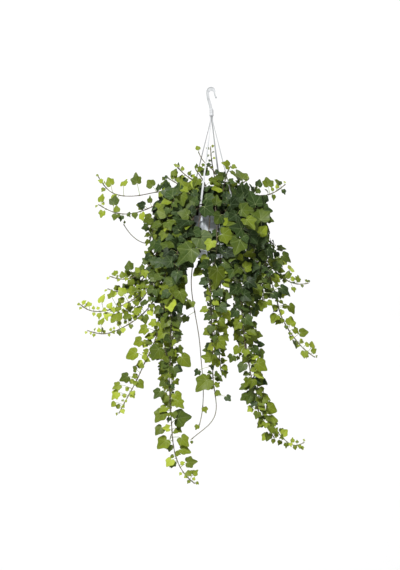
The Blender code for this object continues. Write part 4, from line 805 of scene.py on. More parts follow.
# ---- fine foliage ----
# Half outline of a fine blade: degrees from the midrib, then the reach of a plain blade and of a lobed one.
OUTLINE = ((0, 0.93, 0.97), (7, 0.88, 0.86), (16, 0.79, 0.68), (25, 0.71, 0.57), (35, 0.66, 0.56),
           (45, 0.64, 0.65), (54, 0.63, 0.70), (64, 0.60, 0.62), (76, 0.55, 0.50), (89, 0.50, 0.47),
           (102, 0.47, 0.50), (115, 0.43, 0.45), (131, 0.36, 0.36), (150, 0.24, 0.24), (167, 0.09, 0.09))
BLADE_RINGS = (0.36, 0.70, 1.0)
SMALL_LEAF = 0.020          # shorter blades have half the points
BLADE_SKIN = 0.00045
MOST_LOBING = 0.95
LOBE_SPREAD = (0.9, 1.1)
CUP, DROOP = (0.02, 0.24), (0.02, 0.26)  # least and most, as shares of the blade's length
WAVE, LEAN = (0.005, 0.028), 0.10
WAVES = 7
PETIOLE_RADIUS = 0.00090
STEM_SKIN = 0.0001          # the fine stem is this much thicker than its plain solid
PETIOLE_SIDES = 5
STEM_SIDES = 7
NODE_SWELL = 1.45
TIP_TAPER = 0.4
TIP_HEADING = (0.6, 0.8)    # how far a tip's leaf turns along its stem and out from it
TIP_STRETCH = 1.05
TIP_SPREAD = (0.85, 1.15)
PETIOLE_GIRTH = (0.6, 11)   # of the petiole's radius, and how it grows with the leaf's length
SKIN_GIRTH = (0.6, 10)      # the same for the blade's thickness
TUBE_SCALE = 40             # texture repeats for each metre of a stem
LEAF_SHARP, PLASTIC_SHARP = 50, 38  # degrees from which an edge shows
PETIOLE_LIFT = 0.06         # upward bow, as a share of the blade's length
PETIOLE_TAPER = (1.25, 1.0, 0.95, 0.95, 1.0)
INFILL_EVERY = 0.0086       # distance between the extra leaves along a leafy stem
INFILL_LENGTHS = (0.48, 1.0)  # their lengths, as shares of a plain leaf's there
INFILL_REACH = (0.3, 0.9)
INFILL_RISE = 0.2
INFILL_PETIOLES = (0.35, 0.95)
INFILL_SPREAD = (0.8, 1.2)
TIP_BARE = 0.008
TIP_LENGTH_LEAST = 0.008
LEAFY_EVERY = 0.100         # a stem whose own leaves are farther apart than this gets no extra ones
LEAFY_STRETCH = {"vine_centre_right": (0.13, 0.60)}  # but for these stretches of such stems
CROWN_TOP_Z = -0.315        # above this height the crown's leaves grow lighter, over this distance
CROWN_FADE = 0.045
BRIGHT_BELOW_Z = -0.57      # large leaves above this height are dark
POT_WINDOW = ((-0.056, -0.426), (0.034, -0.362))  # x and z where no extra leaf hides the pot's front
BARE_ARM = (-0.165, -0.370)  # left of this x and above this z the shoots keep few extra leaves
BARE_ARM_SHARE = 0.30
TIP_LEAVES = ((0.0, 0.55), (2.3, 0.45), (4.2, 0.36))  # turn around the stem, and share of its small length
TONE_LEAST, TONE_BASE = 0.02, 0.20
TONE_BY_DEPTH = (0.35, 0.72)  # down to this depth under the rim, the tone rises by this much a metre
TONE_BY_SHARE = 0.22        # added towards a stem's tip
TONE_LEFT = (-0.09, 1.5)    # beyond this x, the tone rises by this much a metre
TONE_RIGHT = (0.12, 1.3)
TONE_TOP = 0.22             # added at the top of the crown
TONE_SPREAD = 0.18
LIGHT_LEAVES = (0.14, 0.30)  # this share of the leaves is lighter by this much
# painted shade: this share of the leaves is darker by this much, standing in for leaves turned away from the
# light
PAINTED_SHADE_LEAVES = (0.22, 0.24)
LARGE_TONE = (0.10, -0.04, 0.05)  # least tone, change and spread of a large dark leaf
LEAF_SLOT, UNDER_SLOT, STEM_SLOT, PETIOLE_SLOT = range(4)


class Parts:
    """Points, faces and their data, gathered for one mesh."""

    def __init__(self):
        self.points, self.tones, self.faces, self.slots, self.uvs = [], [], [], [], []

    def point(self, co, tone):
        self.points.append(co)
        self.tones.append(tone)
        return len(self.points) - 1

    def face(self, corners, slot, uvs):
        self.faces.append(corners)
        self.slots.append(slot)
        self.uvs.append(uvs)

    def make(self, name, materials):
        mesh = bpy.data.meshes.new(name)
        mesh.from_pydata(self.points, [], self.faces)
        for mat in materials:
            mesh.materials.append(mat)
        mesh.polygons.foreach_set("material_index", self.slots)
        mesh.attributes.new("tone", "FLOAT", "POINT").data.foreach_set("value", self.tones)
        layer = mesh.uv_layers.new(name="leaf")
        layer.data.foreach_set("uv", [value for uvs in self.uvs for uv in uvs for value in uv])
        mesh.validate()
        mesh.shade_smooth()
        mesh.set_sharp_from_angle(angle=math.radians(LEAF_SHARP))
        obj = bpy.data.objects.new(name, mesh)
        bpy.context.collection.objects.link(obj)
        return obj


def add_tube(parts, line, radii, sides, slot, tones):
    """A round tube along a line, with closed ends."""
    side = (line[1] - line[0]).orthogonal().normalized()
    rings = []
    distances = line_lengths(line)
    for i, point in enumerate(line):
        ahead = line[min(i + 1, len(line) - 1)] - line[max(i - 1, 0)]
        along = ahead.normalized()
        side = (side - along * side.dot(along)).normalized()
        other = along.cross(side)
        turns = [2 * math.pi * k / sides for k in range(sides)]
        rings.append([parts.point(point + (side * math.cos(t) + other * math.sin(t)) * radii[i], tones[i])
                      for t in turns])
    for i, (lower, upper) in enumerate(zip(rings, rings[1:])):
        low, high = distances[i] * TUBE_SCALE, distances[i + 1] * TUBE_SCALE
        for k in range(sides):
            after = (k + 1) % sides
            u, v = k / sides, (k + 1) / sides
            parts.face((lower[k], lower[after], upper[after], upper[k]), slot,
                       ((u, low), (v, low), (v, high), (u, high)))
    parts.face(tuple(reversed(rings[0])), slot, ((0, 0),) * sides)
    parts.face(tuple(rings[-1]), slot, ((0, 0),) * sides)


def blade_shape(length, rng):
    """Outline reach by angle for one leaf, with its own lobing and small differences between its halves."""
    lobing = rng.uniform(0.0, MOST_LOBING)
    step = 2 if length < SMALL_LEAF else 1
    half = [OUTLINE[0]] + list(OUTLINE[1:])[::step]
    right = [(math.radians(a), p + (q - p) * lobing * rng.uniform(*LOBE_SPREAD)) for a, p, q in half]
    left = [(-math.radians(a), p + (q - p) * lobing * rng.uniform(*LOBE_SPREAD)) for a, p, q in half[1:]]
    return right + list(reversed(left))


def add_fine_blade(parts, leaf, tone, rng):
    """A lobed, cupped blade of real thickness, in the leaf's own axes."""
    outline = blade_shape(leaf.length, rng)
    cup = rng.uniform(*CUP)
    droop = rng.uniform(*DROOP)
    wave, phase = rng.uniform(*WAVE), rng.uniform(0, 6.28)
    lean = rng.uniform(-LEAN, LEAN)
    skin = BLADE_SKIN * (SKIN_GIRTH[0] + leaf.length * SKIN_GIRTH[1]) / leaf.length
    sheets = []
    for offset in (skin / 2, -skin / 2):
        def place(turn, reach):
            u = reach * math.sin(turn)
            v = reach * math.cos(turn)
            height = cup * abs(u) - droop * v * abs(v)
            height += wave * math.sin(WAVES * turn + phase) * reach * reach * 2
            height += lean * u * v + offset
            spot = leaf.base + (leaf.across * u + leaf.along * v + leaf.facing * height) * leaf.length
            return parts.point(spot, tone), (u, v)
        middle = place(0.0, 0.0)
        rings = [[place(turn, reach * share) for turn, reach in outline] for share in BLADE_RINGS]
        sheets.append((middle, rings))
    count = len(outline)
    for (middle, rings), slot in zip(sheets, (LEAF_SLOT, UNDER_SLOT)):
        for k in range(count):
            after = (k + 1) % count
            corners = [middle, rings[0][after], rings[0][k]]
            add_facet(parts, corners, slot)
            for inner, outer in zip(rings, rings[1:]):
                add_facet(parts, [inner[k], inner[after], outer[after], outer[k]], slot)
    top, under = sheets[0][1][-1], sheets[1][1][-1]
    for k in range(count):
        after = (k + 1) % count
        add_facet(parts, [top[after], under[after], under[k], top[k]], UNDER_SLOT, turned_over=False)


def add_facet(parts, corners, slot, turned_over=None):
    """One facet of a blade. The under sheet's facets are wound the other way."""
    over = slot == UNDER_SLOT if turned_over is None else turned_over
    if over:
        corners = list(reversed(corners))
    parts.face(tuple(c[0] for c in corners), slot, tuple(c[1] for c in corners))


def add_fine_leaf(parts, leaf, stem_point, tone, rng):
    """A curved petiole and its fine blade."""
    bend = leaf.bend + DOWN * (-PETIOLE_LIFT * leaf.length)
    line = [stem_point.lerp(bend, t).lerp(bend.lerp(leaf.base, t), t) for t in (0, 0.25, 0.5, 0.75, 1)]
    width = PETIOLE_RADIUS * (PETIOLE_GIRTH[0] + leaf.length * PETIOLE_GIRTH[1])
    add_tube(parts, line, [width * share for share in PETIOLE_TAPER], PETIOLE_SIDES, PETIOLE_SLOT, [tone] * 5)
    add_fine_blade(parts, leaf, tone, rng)


def infill_wishes(vine, line, rng):
    """Extra leaves along a leafy stem, and the small ones at its tip."""
    lengths = line_lengths(line)
    first, last = LEAFY_STRETCH.get(vine.name, (vine.bare * 0.5, lengths[-1] - TIP_BARE))
    if vine.every > LEAFY_EVERY and vine.name not in LEAFY_STRETCH:
        return []
    wishes = []
    distance = first + INFILL_EVERY / 2
    side = 1
    while distance < last:
        place = sample_at(lengths, distance)
        share = distance / lengths[-1]
        length = length_at(vine, share) * rng.uniform(*INFILL_LENGTHS)
        place = max(1, min(place, len(line) - 2))
        run = run_at(line, place)
        out = facing_at(line[place], rng)
        across = run.cross(out).normalized() * side
        reach = across * rng.uniform(*INFILL_REACH) + out * rng.uniform(*INFILL_REACH) + UP * INFILL_RISE
        reach = reach.normalized() * max(PETIOLE_LEAST, length * rng.uniform(*INFILL_PETIOLES))
        wishes.append(Wish(place, reach, length, False))
        side = -side
        distance += INFILL_EVERY * rng.uniform(*INFILL_SPREAD)
    return wishes


def tip_wishes(vine, line, rng):
    """The few small young leaves that end a stem."""
    last = len(line) - 2
    run = (line[-1] - line[-3]).normalized()
    side = run.orthogonal().normalized()
    wishes = []
    for turn, share in TIP_LEAVES:
        heading = (run * TIP_HEADING[0] + Matrix.Rotation(turn, 3, run) @ side * TIP_HEADING[1]).normalized()
        length = max(TIP_LENGTH_LEAST, vine.small * share * rng.uniform(*TIP_SPREAD))
        wishes.append(Wish(last, heading * PETIOLE_LEAST * TIP_STRETCH, length, False))
    return wishes


def grow_extra(lines, wishes, fixed, grown, rng):
    """Fine leaves with no solid of their own, grown where there is room."""
    leaves = [[] for _ in lines]
    for which, wanted in enumerate(wishes):
        for wish in wanted:
            line, place = lines[which], wish.place
            run = run_at(line, place)
            facing = facing_at(line[place] + wish.reach, rng)
            near = [shape for shape in fixed if (shape[0] - line[place]).length < shape[1] + NEAR]
            close = [shape for shape in grown if (shape[0] - line[place]).length < shape[1] + NEAR]
            found = fitted_leaf(EXTRA_TRIES, line[place], run, wish, facing, near, close)
            if found and is_wanted(blade_middle(found[0]), rng):
                leaves[which].append(found[0])
                grown += found[1]
    return leaves


def is_wanted(spot, rng):
    """Extra leaves leave the front of the pot and the upper left shoots open."""
    (left, low), (right, high) = POT_WINDOW
    if spot.y < 0 and left < spot.x < right and low < spot.z < high:
        return False
    in_arm = spot.x < BARE_ARM[0] and spot.z > BARE_ARM[1]
    return not in_arm or rng.random() < BARE_ARM_SHARE


def leaf_tone(leaf, vine, line, rng):
    """How light a leaf is: dark around the pot, lighter above it, to the sides and down the stems."""
    spot = blade_middle(leaf)
    share = leaf.place / len(line)
    depth = max(0.0, RIM_Z - spot.z)
    tone = TONE_BASE + min(depth, TONE_BY_DEPTH[0]) * TONE_BY_DEPTH[1] + share ** 3 * TONE_BY_SHARE
    tone += max(0.0, TONE_LEFT[0] - spot.x) * TONE_LEFT[1] + max(0.0, spot.x - TONE_RIGHT[0]) * TONE_RIGHT[1]
    tone += TONE_TOP * min(1.0, max(0.0, (spot.z - CROWN_TOP_Z) / CROWN_FADE))
    if leaf.length > LARGE_LEAF and spot.z > BRIGHT_BELOW_Z:
        least, change, spread = LARGE_TONE
        return max(least, tone + change + rng.uniform(-spread, spread))
    # a random spread, a share of lighter leaves, and a share darkened as painted shade for leaves turned away
    # from the light
    odd = rng.random()
    tone += rng.uniform(-TONE_SPREAD, TONE_SPREAD)
    if odd < LIGHT_LEAVES[0]:
        tone += LIGHT_LEAVES[1]
    elif odd > 1 - PAINTED_SHADE_LEAVES[0]:
        tone -= PAINTED_SHADE_LEAVES[1]
    return min(max(tone, TONE_LEAST), 1.0)


def fine_stem(parts, line, leaves):
    """The stem with a slight swelling where each petiole leaves it."""
    nodes = {leaf.place for leaf in leaves}
    lengths = line_lengths(line)
    radii = []
    for i in range(len(line)):
        radius = STEM_SKIN + STEM_RADIUS + (STEM_TIP_RADIUS - STEM_RADIUS) * lengths[i] / lengths[-1]
        radii.append(radius * (NODE_SWELL if i in nodes else 1.0))
    tones = [lengths[i] / lengths[-1] for i in range(len(line))]
    radii[-1] *= TIP_TAPER
    add_tube(parts, line, radii, STEM_SIDES, STEM_SLOT, tones)


def build_foliage(materials):
    lines = [stem_line(vine) for vine in VINES]
    part_stems(lines)
    fixed = [node_shape(name) for name in ("hanger", "pot", "potting_soil")]
    rng = random.Random(SEED)
    solid, grown, spare = grow_leaves(lines, fixed, rng)
    for vine, line, wishes in zip(VINES, lines, spare):
        wishes += tip_wishes(vine, line, rng) + infill_wishes(vine, line, rng)
    extra = grow_extra(lines, spare, fixed, grown, rng)
    for vine, line, kept, more in zip(VINES, lines, solid, extra):
        parts = Parts()
        fine_stem(parts, line, kept + more)
        for leaf in kept + more:
            add_fine_leaf(parts, leaf, line[leaf.place], leaf_tone(leaf, vine, line, rng), rng)
        piece = parts.make(f"ivy_{vine.name}", materials)
        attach(piece, "root")
        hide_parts(vine.name)
    print("LEAVES", sum(map(len, solid)), sum(map(len, extra)))


# ---- materials ----
# Colours by tone or noise, and plastics as (light, dark, least roughness, most roughness).
LEAF_COLOURS = ((0.0, (0.007, 0.014, 0.003)), (0.28, (0.027, 0.050, 0.012)), (0.52, (0.074, 0.102, 0.008)),
                (0.78, (0.155, 0.200, 0.012)), (1.0, (0.310, 0.375, 0.036)))
VEIN_COLOURS = ((0.0, (0.090, 0.125, 0.070)), (0.5, (0.150, 0.185, 0.055)), (1.0, (0.350, 0.400, 0.110)))
EDGE_COLOUR = (0.14, 0.17, 0.05)
UNDER_COLOURS = ((0.0, (0.034, 0.052, 0.020)), (0.5, (0.090, 0.120, 0.026)), (1.0, (0.250, 0.310, 0.060)))
UNDER_VEIN_COLOUR = (0.24, 0.32, 0.14)
BARK_COLOURS = ((0.0, (0.050, 0.033, 0.018)), (0.6, (0.060, 0.044, 0.022)), (1.0, (0.105, 0.100, 0.040)))
PETIOLE_COLOURS = ((0.25, (0.150, 0.110, 0.050)), (0.5, (0.230, 0.290, 0.090)), (0.8, (0.330, 0.400, 0.150)))
SOIL_COLOURS = ((0.08, (0.010, 0.007, 0.005)), (0.30, (0.040, 0.026, 0.016)), (0.50, (0.105, 0.075, 0.048)))
STUDIO_WHITES = ((0.82, 0.82, 0.82), (0.84, 0.84, 0.84))
HANGER_PLASTIC = ((0.46, 0.47, 0.48), (0.37, 0.38, 0.39), 0.30, 0.48)
POT_PLASTIC = ((0.60, 0.64, 0.68), (0.50, 0.54, 0.58), 0.38, 0.58)
VEIN_ANGLES = (0.0, 0.90, 1.75)  # of the main veins, from the midrib
VEIN_WIDTH, VEIN_TAPER = 0.030, 0.020
NET_SCALE, NET_WIDTH = 7.0, 0.06


class Graph:
    """Short names for building a material's nodes."""

    def __init__(self, name):
        self.mat = bpy.data.materials.new(name)
        self.mat.use_nodes = True
        self.tree = self.mat.node_tree
        self.shader = self.tree.nodes["Principled BSDF"]

    def node(self, kind, **values):
        made = self.tree.nodes.new(f"ShaderNode{kind}")
        for key, value in values.items():
            setattr(made, key, value)
        return made

    def link(self, source, target):
        self.tree.links.new(source, target)

    def feed(self, sockets, values):
        """A number or colour is set on its socket, and anything else is linked to it."""
        for socket, value in zip(sockets, values):
            if isinstance(value, (int, float)):
                socket.default_value = value
            elif isinstance(value, tuple):
                socket.default_value = (*value, 1)
            else:
                self.link(value, socket)

    def math(self, operation, *values):
        made = self.node("Math", operation=operation)
        self.feed(made.inputs, values)
        return made.outputs[0]

    def step(self, value, low, high, to_low=0.0, to_high=1.0):
        made = self.node("MapRange", interpolation_type="SMOOTHSTEP")
        self.feed(made.inputs, (value, low, high, to_low, to_high))
        return made.outputs[0]

    def noise(self, scale, detail=3.0, roughness=0.5):
        made = self.node("TexNoise")
        made.inputs["Scale"].default_value = scale
        made.inputs["Detail"].default_value = detail
        made.inputs["Roughness"].default_value = roughness
        self.link(self.node("TexCoord").outputs["Object"], made.inputs["Vector"])
        return made.outputs["Fac"]

    def ramp(self, value, stops):
        made = self.node("ValToRGB")
        elements = made.color_ramp.elements
        while len(elements) < len(stops):
            elements.new(0.5)
        for element, (position, colour) in zip(elements, stops):
            element.position = position
            element.color = (*colour, 1)
        self.link(value, made.inputs[0])
        return made.outputs[0]

    def mix(self, share, first, second):
        made = self.node("Mix", data_type="RGBA")
        self.feed((made.inputs[0], made.inputs[6], made.inputs[7]), (share, first, second))
        return made.outputs[2]

    def vary(self, value, noise, amount):
        """The value with a noise added around it."""
        return self.math("ADD", value, self.math("MULTIPLY", self.math("SUBTRACT", noise, 0.5), amount))

    def bump(self, height, strength, distance):
        made = self.node("Bump")
        made.inputs["Strength"].default_value = strength
        made.inputs["Distance"].default_value = distance
        self.link(height, made.inputs["Height"])
        self.link(made.outputs[0], self.shader.inputs["Normal"])

    def finish(self, colour, roughness, **numbers):
        self.link(colour, self.shader.inputs["Base Color"])
        self.link(roughness, self.shader.inputs["Roughness"])
        for name, value in numbers.items():
            self.shader.inputs[name.replace("_", " ")].default_value = value
        return self.mat


def vein_lines(g):
    """1 on the veins of a blade, from its own flat coordinates, and less between them."""
    uv = g.node("UVMap", uv_map="leaf").outputs[0]
    split = g.node("SeparateXYZ")
    g.link(uv, split.inputs[0])
    across = g.math("ABSOLUTE", split.outputs[0])
    along = split.outputs[1]
    squared = g.math("ADD", g.math("MULTIPLY", across, across), g.math("MULTIPLY", along, along))
    reach = g.math("SQRT", squared)
    turn = g.math("ARCTAN2", across, along)
    nearest = None
    for angle in VEIN_ANGLES:
        away = g.math("MULTIPLY", reach, g.math("ABSOLUTE", g.math("SINE", g.math("SUBTRACT", turn, angle))))
        nearest = away if nearest is None else g.math("MINIMUM", nearest, away)
    width = g.math("SUBTRACT", VEIN_WIDTH, g.math("MULTIPLY", reach, VEIN_TAPER))
    main = g.step(g.math("DIVIDE", nearest, width), 0.0, 1.0, 1.0, 0.0)
    net = g.node("TexVoronoi", feature="DISTANCE_TO_EDGE")
    net.inputs["Scale"].default_value = NET_SCALE
    g.link(uv, net.inputs["Vector"])
    fine = g.step(net.outputs["Distance"], 0.0, NET_WIDTH, 1.0, 0.0)
    return main, fine, reach


def leaf_material():
    """Waxy upper side: dark to light by the leaf's tone, with pale veins and mottling."""
    g = Graph("ivy_leaf_top")
    tone = g.node("Attribute", attribute_name="tone").outputs["Fac"]
    main, fine, reach = vein_lines(g)
    mottle = g.noise(90.0, 3.0)
    patch = g.noise(22.0, 2.0)
    body = g.ramp(g.vary(g.vary(tone, patch, 0.30), mottle, 0.16), LEAF_COLOURS)
    vein = g.ramp(tone, VEIN_COLOURS)
    lines = g.math("MAXIMUM", g.math("MULTIPLY", main, 0.75), g.math("MULTIPLY", fine, 0.22))
    colour = g.mix(lines, body, vein)
    edge = g.step(reach, 0.80, 1.0, 0.0, 0.25)
    colour = g.mix(edge, colour, EDGE_COLOUR)
    roughness = g.step(g.noise(60.0, 2.0), 0.3, 0.7, 0.34, 0.50)
    sunk = g.math("ADD", g.math("MULTIPLY", main, 0.8), g.math("MULTIPLY", fine, 0.35))
    height = g.math("SUBTRACT", g.math("MULTIPLY", mottle, 0.3), sunk)
    g.bump(height, 0.55, 0.0006)
    return g.finish(colour, roughness, Specular_IOR_Level=0.10)


def under_material():
    """Matte, paler under side."""
    g = Graph("ivy_leaf_under")
    tone = g.node("Attribute", attribute_name="tone").outputs["Fac"]
    main, fine, _ = vein_lines(g)
    mottle = g.noise(120.0, 3.0)
    body = g.ramp(g.vary(tone, mottle, 0.25), UNDER_COLOURS)
    colour = g.mix(g.math("MULTIPLY", main, 0.6), body, UNDER_VEIN_COLOUR)
    g.bump(g.math("ADD", main, g.math("MULTIPLY", fine, 0.5)), 0.5, 0.0006)
    return g.finish(colour, g.step(mottle, 0.2, 0.8, 0.55, 0.72))


def stem_material():
    """Brown-grey bark near the root, greener towards the tip."""
    g = Graph("ivy_stem")
    share = g.node("Attribute", attribute_name="tone").outputs["Fac"]
    grain = g.noise(260.0, 4.0)
    bark = g.ramp(g.vary(share, grain, 0.5), BARK_COLOURS)
    g.bump(grain, 0.6, 0.0004)
    return g.finish(bark, g.step(grain, 0.3, 0.7, 0.55, 0.80))


def petiole_material():
    """Pale green leaf stalk, a little red in places."""
    g = Graph("ivy_petiole")
    blotch = g.noise(70.0, 3.0)
    colour = g.ramp(blotch, PETIOLE_COLOURS)
    g.bump(g.noise(400.0, 2.0), 0.4, 0.0003)
    return g.finish(colour, g.step(blotch, 0.3, 0.7, 0.42, 0.60))


def moulded_plastic(name, light, dark, low, high):
    """Moulded plastic with faint flow marks, dust and a fine orange-peel skin."""
    g = Graph(name)
    flow = g.noise(9.0, 4.0)
    dust = g.noise(70.0, 5.0, 0.65)
    colour = g.mix(g.step(flow, 0.35, 0.70), light, dark)
    colour = g.mix(g.step(dust, 0.58, 0.78, 0.0, 0.35), colour, dark)
    roughness = g.step(dust, 0.3, 0.7, low, high)
    g.bump(g.noise(900.0, 2.0), 0.25, 0.0002)
    return g.finish(colour, roughness, Specular_IOR_Level=0.5)


def soil_material():
    g = Graph("damp_soil")
    grain = g.noise(420.0, 5.0, 0.7)
    lump = g.noise(120.0, 4.0)
    colour = g.ramp(g.math("MULTIPLY", grain, lump), SOIL_COLOURS)
    g.bump(g.math("ADD", grain, lump), 0.9, 0.002)
    return g.finish(colour, g.step(grain, 0.3, 0.7, 0.75, 0.98))


def studio_material():
    g = Graph("studio_white")
    colour = g.mix(g.noise(0.6, 1.0), *STUDIO_WHITES)
    g.shader.inputs["Emission Color"].default_value = (1, 1, 1, 1)
    return g.finish(colour, g.math("ADD", g.noise(3.0), 0.4), Emission_Strength=WALL_GLOW)


# ---- pot, hanger and soil ----
POT_SIDES = 96
EDGE = 0.0006               # rounding of moulded edges
RIM_BEAD = 0.0009
BAND_GROOVE = 0.0011
CUTTER_SIDES = 28
MOST_ROUNDED = 0.45         # share of a straight run that one rounded corner may take
PROFILE_STEPS = 4           # on each rounded corner of a turned profile
SECTION_POINTS = 5          # on each rounded corner of a bar
STRAND_BEND = 0.006
STRAND_BEND_STEPS = 5
CLIP_ABOVE_RIM = 0.012
HOOK_BEND_STEPS = 28
HUB_SIDES = 48
HUB_RINGS = 3
HUB_RING_FROM, HUB_RING_EVERY = 0.25, 0.22  # of the hub's grooves, as shares of its height
WEB = 0.40                  # share of the hook's depth that the web between its two rails fills
RAIL = 0.0014               # thickness of the rails along the hook's edges
TIP_BEAD = 0.0034
HOOK_STEPS = (16, 24, 31)   # cross ribs, by their places along the hook's line
CRUMBS = 260
CRUMB_SIZES = (0.0008, 0.0022)
CRUMB_ROUGHNESS = 0.35
SOIL_RELIEF = 0.0012
SOIL_RINGS = 26


def rounded_line(points, radius, steps):
    """A bent line with its corners rounded."""
    line = [points[0].copy()]
    for before, corner, after in zip(points, points[1:], points[2:]):
        back, ahead = before - corner, after - corner
        reach = min(radius, back.length * MOST_ROUNDED, ahead.length * MOST_ROUNDED)
        start, end = corner + back.normalized() * reach, corner + ahead.normalized() * reach
        for step in range(steps + 1):
            share = step / steps
            line.append(start.lerp(corner, share).lerp(corner.lerp(end, share), share))
    return line + [points[-1].copy()]


def rounded_profile(corners, radius, steps):
    """A turned profile with its inner corners rounded."""
    return [tuple(point) for point in rounded_line([Vector(corner) for corner in corners], radius, steps)]


def turned_mesh(bm, profile, sides):
    """A closed profile of (radius, height) points turned about Z. It starts and ends on the axis."""
    inner = profile[1:-1]
    ends = [bm.verts.new((0, 0, z)) for _, z in (profile[0], profile[-1])]
    loops = []
    for k in range(sides):
        turn = 2 * math.pi * k / sides
        loops.append([bm.verts.new((r * math.sin(turn), -r * math.cos(turn), z)) for r, z in inner])
    for here, after in zip(loops, loops[1:] + loops[:1]):
        bm.faces.new((ends[0], here[0], after[0]))
        bm.faces.new((ends[1], after[-1], here[-1]))
        for a, b, c, d in zip(here, here[1:], after[1:], after):
            bm.faces.new((a, b, c, d))


def add_piece(name, bm, mat, node):
    """A finished piece that stands for a CAD node."""
    bmesh.ops.recalc_face_normals(bm, faces=bm.faces)
    if bm.calc_volume(signed=True) < 0:
        bmesh.ops.reverse_faces(bm, faces=bm.faces)
    mesh = bpy.data.meshes.new(name)
    bm.to_mesh(mesh)
    bm.free()
    mesh.shade_smooth()
    mesh.set_sharp_from_angle(angle=math.radians(PLASTIC_SHARP))
    mesh.materials.append(mat)
    obj = bpy.data.objects.new(name, mesh)
    bpy.context.collection.objects.link(obj)
    if node:
        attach(obj, "root")
        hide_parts(node)
    return obj


def build_fine_pot(mat):
    """The pot with rounded lips, a groove under its rim band, a foot ring and drainage holes."""
    floor_bottom = POT_BOTTOM_Z + POT_FOOT
    ring_inner = POT_BASE_RADIUS - 2 * POT_WALL
    band_bottom = RIM_Z - POT_RIM_HEIGHT
    inner_bottom = POT_BASE_RADIUS - POT_WALL
    wall_top = POT_WALL_TOP_RADIUS - EDGE
    band = POT_RIM_RADIUS - EDGE
    profile = rounded_profile(
        [(0, floor_bottom), (ring_inner, floor_bottom), (ring_inner, POT_BOTTOM_Z),
         (POT_BASE_RADIUS, POT_BOTTOM_Z), (wall_top, band_bottom - 2 * BAND_GROOVE), (wall_top, band_bottom),
         (POT_RIM_RADIUS, band_bottom), (POT_RIM_RADIUS, band_bottom + 2 * BAND_GROOVE),
         (band, band_bottom + 3 * BAND_GROOVE), (band, RIM_Z - 3 * RIM_BEAD),
         (POT_RIM_RADIUS, RIM_Z - 2 * RIM_BEAD), (POT_RIM_RADIUS, RIM_Z), (POT_INNER_TOP_RADIUS, RIM_Z),
         (inner_bottom, POT_FLOOR_Z), (0, POT_FLOOR_Z)], EDGE, PROFILE_STEPS)
    bm = bmesh.new()
    turned_mesh(bm, profile, POT_SIDES)
    plain = add_piece("pot_plain", bm, mat, None)
    bm = bmesh.new()
    for k in range(DRAIN_COUNT):
        turn = 2 * math.pi * k / DRAIN_COUNT + DRAIN_TURN
        spot = (DRAIN_CIRCLE * math.sin(turn), DRAIN_CIRCLE * math.cos(turn), POT_FLOOR_Z)
        bmesh.ops.create_cone(bm, cap_ends=True, segments=CUTTER_SIDES, radius1=DRAIN_RADIUS,
                              radius2=DRAIN_RADIUS, depth=4 * (POT_WALL + POT_FOOT),
                              matrix=Matrix.Translation(spot))
    cutter = add_piece("drain_cutter", bm, mat, None)
    cut = plain.modifiers.new("drain", "BOOLEAN")
    cut.operation = "DIFFERENCE"
    cut.object = cutter
    bpy.context.view_layer.update()
    bm = bmesh.new()
    bm.from_object(plain, bpy.context.evaluated_depsgraph_get())
    for helper in (plain, cutter):
        bpy.data.objects.remove(helper)
    add_piece("pot_body", bm, mat, "pot")


def bar_section(width, thickness):
    """Corners of a bar's rounded section, (across, out)."""
    w, t = width / 2, thickness / 2
    radius = min(w, t) * 0.55
    points = []
    for cx, cy, first in ((w - radius, t - radius, 0), (radius - w, t - radius, 90),
                          (radius - w, radius - t, 180), (w - radius, radius - t, 270)):
        for step in range(SECTION_POINTS):
            turn = math.radians(first + 90 * step / (SECTION_POINTS - 1))
            points.append((cx + radius * math.cos(turn), cy + radius * math.sin(turn)))
    return points


def add_bar(bm, line, across, sections):
    """A bar along a bent line. Each point has its own section."""
    rings = []
    for i, point in enumerate(line):
        before = (point - line[i - 1]).normalized() if i else (line[1] - point).normalized()
        after = (line[i + 1] - point).normalized() if i + 1 < len(line) else before
        along = (before + after).normalized()
        out = across.cross(along).normalized()
        rings.append([point + across * x + out * y for x, y in sections[i]])
    tube(bm, rings)


